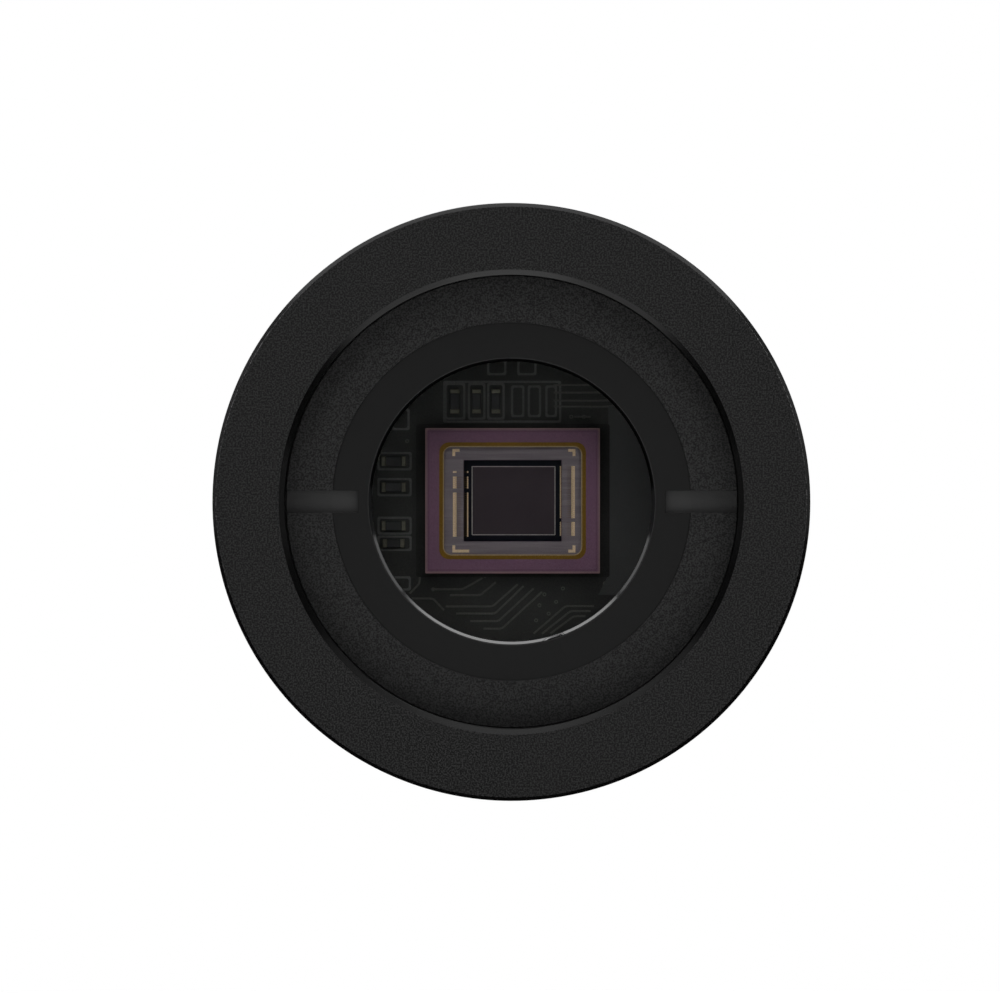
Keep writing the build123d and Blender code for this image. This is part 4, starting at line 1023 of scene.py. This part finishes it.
def makeCamera():
    data = bpy.data.cameras.new("camera")
    data.sensor_width = shot["sensor"]
    data.lens = shot["lens"]
    data.clip_start, data.clip_end = 0.01, 50.0
    camera = bpy.data.objects.new("camera", data)
    # it stands a little to the right and above, and looks at the window
    target = np.array([shot["right"], shot["focus"], shot["up"]])
    place = np.array([shot["right"] + shot["lean"][0], -shot["distance"], shot["up"] + shot["lean"][1]])
    camera.location = place
    camera.rotation_euler = Vector(target - place).to_track_quat("-Z", "Y").to_euler()
    bpy.context.scene.collection.objects.link(camera)
    bpy.context.scene.camera = camera


softboxes = {  # place, aim, width, height in metres, and power in watts
    "overhead": ((0, 0.04, 0.70), (0, 0.04, 0), 1.60, 0.50, 2.95),
    "upperLeft": ((-0.80, -0.20, 0.40), (0, 0, 0), 0.18, 0.40, 0.08),
    "upperRight": ((0.80, -0.20, 0.40), (0, 0, 0), 0.18, 0.40, 0.08),
    "frontHigh": ((0, -0.36, 0.62), (0, 0, 0), 1.10, 0.16, 0.60),
    "highLeft": ((-0.60, -0.50, 0.62), (0, 0, 0), 0.30, 0.30, 0.11),
    "highRight": ((0.60, -0.50, 0.62), (0, 0, 0), 0.30, 0.30, 0.07),
    "frontLow": ((0, -0.060, -0.098), (0, 0, -0.005), 0.05, 0.03, 0.0042),
    "leftSide": ((-0.75, 0.18, 0.12), (0, 0.0, 0), 0.4, 0.6, 0.20),
    "rightSide": ((0.75, 0.18, 0.10), (0, 0.0, 0), 0.4, 0.6, 0.26),
    "frontLeft": ((-0.45, -0.88, 0.22), (0, 0, 0), 0.3, 0.3, 0.34),
    "frontRight": ((0.45, -0.88, 0.22), (0, 0, 0), 0.3, 0.3, 0.34),
    "frontTop": ((0, -0.74, 0.62), (0, 0, 0), 0.4, 0.3, 0.82),
    "lowLeft": ((-0.75, -0.43, 0.0), (0, 0, 0), 0.30, 0.30, 0.022),
    "lowRight": ((0.75, -0.43, 0.0), (0, 0, 0), 0.30, 0.30, 0.045),
    "fillLeft": ((-0.68, 0.46, 0.03), (0, 0.04, 0), 0.5, 0.35, 2.2),
    "fillRight": ((0.68, 0.46, 0.03), (0, 0.04, 0), 0.5, 0.35, 2.2),
    "backLeft": ((-0.80, 0.50, 0.45), (0, 0.04, 0), 0.7, 0.5, 5.0),
    "backRight": ((0.80, 0.50, 0.45), (0, 0.04, 0), 0.7, 0.5, 5.0),
    "behind": ((0.10, 0.95, 0.60), (0, 0.04, 0), 0.8, 0.5, 6.0),
}


def makeLights():
    for name, (place, aim, width, height, power) in softboxes.items():
        data = bpy.data.lights.new(name, "AREA")
        data.shape, data.size, data.size_y, data.energy = "RECTANGLE", width, height, power
        lamp = bpy.data.objects.new(name, data)
        lamp.location = place
        direction = np.array(aim, float) - np.array(place)
        lamp.rotation_euler = Vector(direction).to_track_quat("-Z", "Y").to_euler()
        lamp.visible_camera = False
        bpy.context.scene.collection.objects.link(lamp)


def makeWorld():
    # white to the camera, and a dim even glow to everything else
    world = bpy.data.worlds.new("studio")
    world.use_nodes = True
    tree = world.node_tree
    glow = tree.nodes["Background"]
    glow.inputs["Color"].default_value = (0.035, 0.035, 0.036, 1.0)
    white = addNode(tree, "ShaderNodeBackground", {"Color": (1, 1, 1, 1), "Strength": 1.0})
    seen = addNode(tree, "ShaderNodeLightPath").outputs["Is Camera Ray"]
    mix = addNode(tree, "ShaderNodeMixShader", {0: seen, 1: glow.outputs[0], 2: white.outputs[0]})
    tree.links.new(mix.outputs[0], tree.nodes["World Output"].inputs["Surface"])
    bpy.context.scene.world = world
    bpy.context.scene.view_settings.view_transform = "Standard"
    bpy.context.scene.view_settings.look = "None"


def stageSheet(name, shape):
    points, faces = shape
    mesh = bpy.data.meshes.new(name)
    mesh.from_pydata(points.tolist(), [], faces.tolist())
    mesh.materials.append(finishes[name])
    sheet = bpy.data.objects.new(name, mesh)
    bpy.context.scene.collection.objects.link(sheet)
    return sheet


def makeFloor():
    # a round pale floor below the camera, lifting gently at its rim
    look = dict(reach=0.72, level=-0.112, lift=0.002)
    share = np.linspace(0, 1, 24)[:, None]
    angle = (np.arange(96) * turn / 96)[None]
    radius = look["reach"] * share
    height = look["level"] + look["lift"] * np.clip((share - 0.8) / 0.2, 0, 1) ** 2 + 0 * angle
    stageSheet("floor", skin(np.stack([radius * np.cos(angle), radius * np.sin(angle), height], axis=-1)))


def makeFlag():
    # a black card under the body keeps the floor out of the lower edges' reflections; its front
    # edge reaches further forward at the sides than in the middle, as a smooth step
    look = dict(width=0.90, middle=-0.028, side=-0.16, back=0.10, level=-0.046, gap=(0.038, 0.062))
    across = np.linspace(-0.5, 0.5, 91)[None] * look["width"]
    share = np.clip((np.abs(across) - look["gap"][0]) / (look["gap"][1] - look["gap"][0]), 0, 1)
    front = look["middle"] + (look["side"] - look["middle"]) * share ** 2 * (3 - 2 * share)
    along = np.linspace(0, 1, 6)[:, None]
    depth = front + (look["back"] - front) * along
    points = np.stack([across + 0 * along, depth, look["level"] + 0 * depth], axis=-1)
    flag = stageSheet("flag", skin(points, roundColumns=False))
    flag.visible_camera = flag.visible_shadow = flag.visible_diffuse = False


makeFlag()
makeCamera()
makeLights()
makeWorld()
makeFloor()
print("stage: camera, lights and floor made")
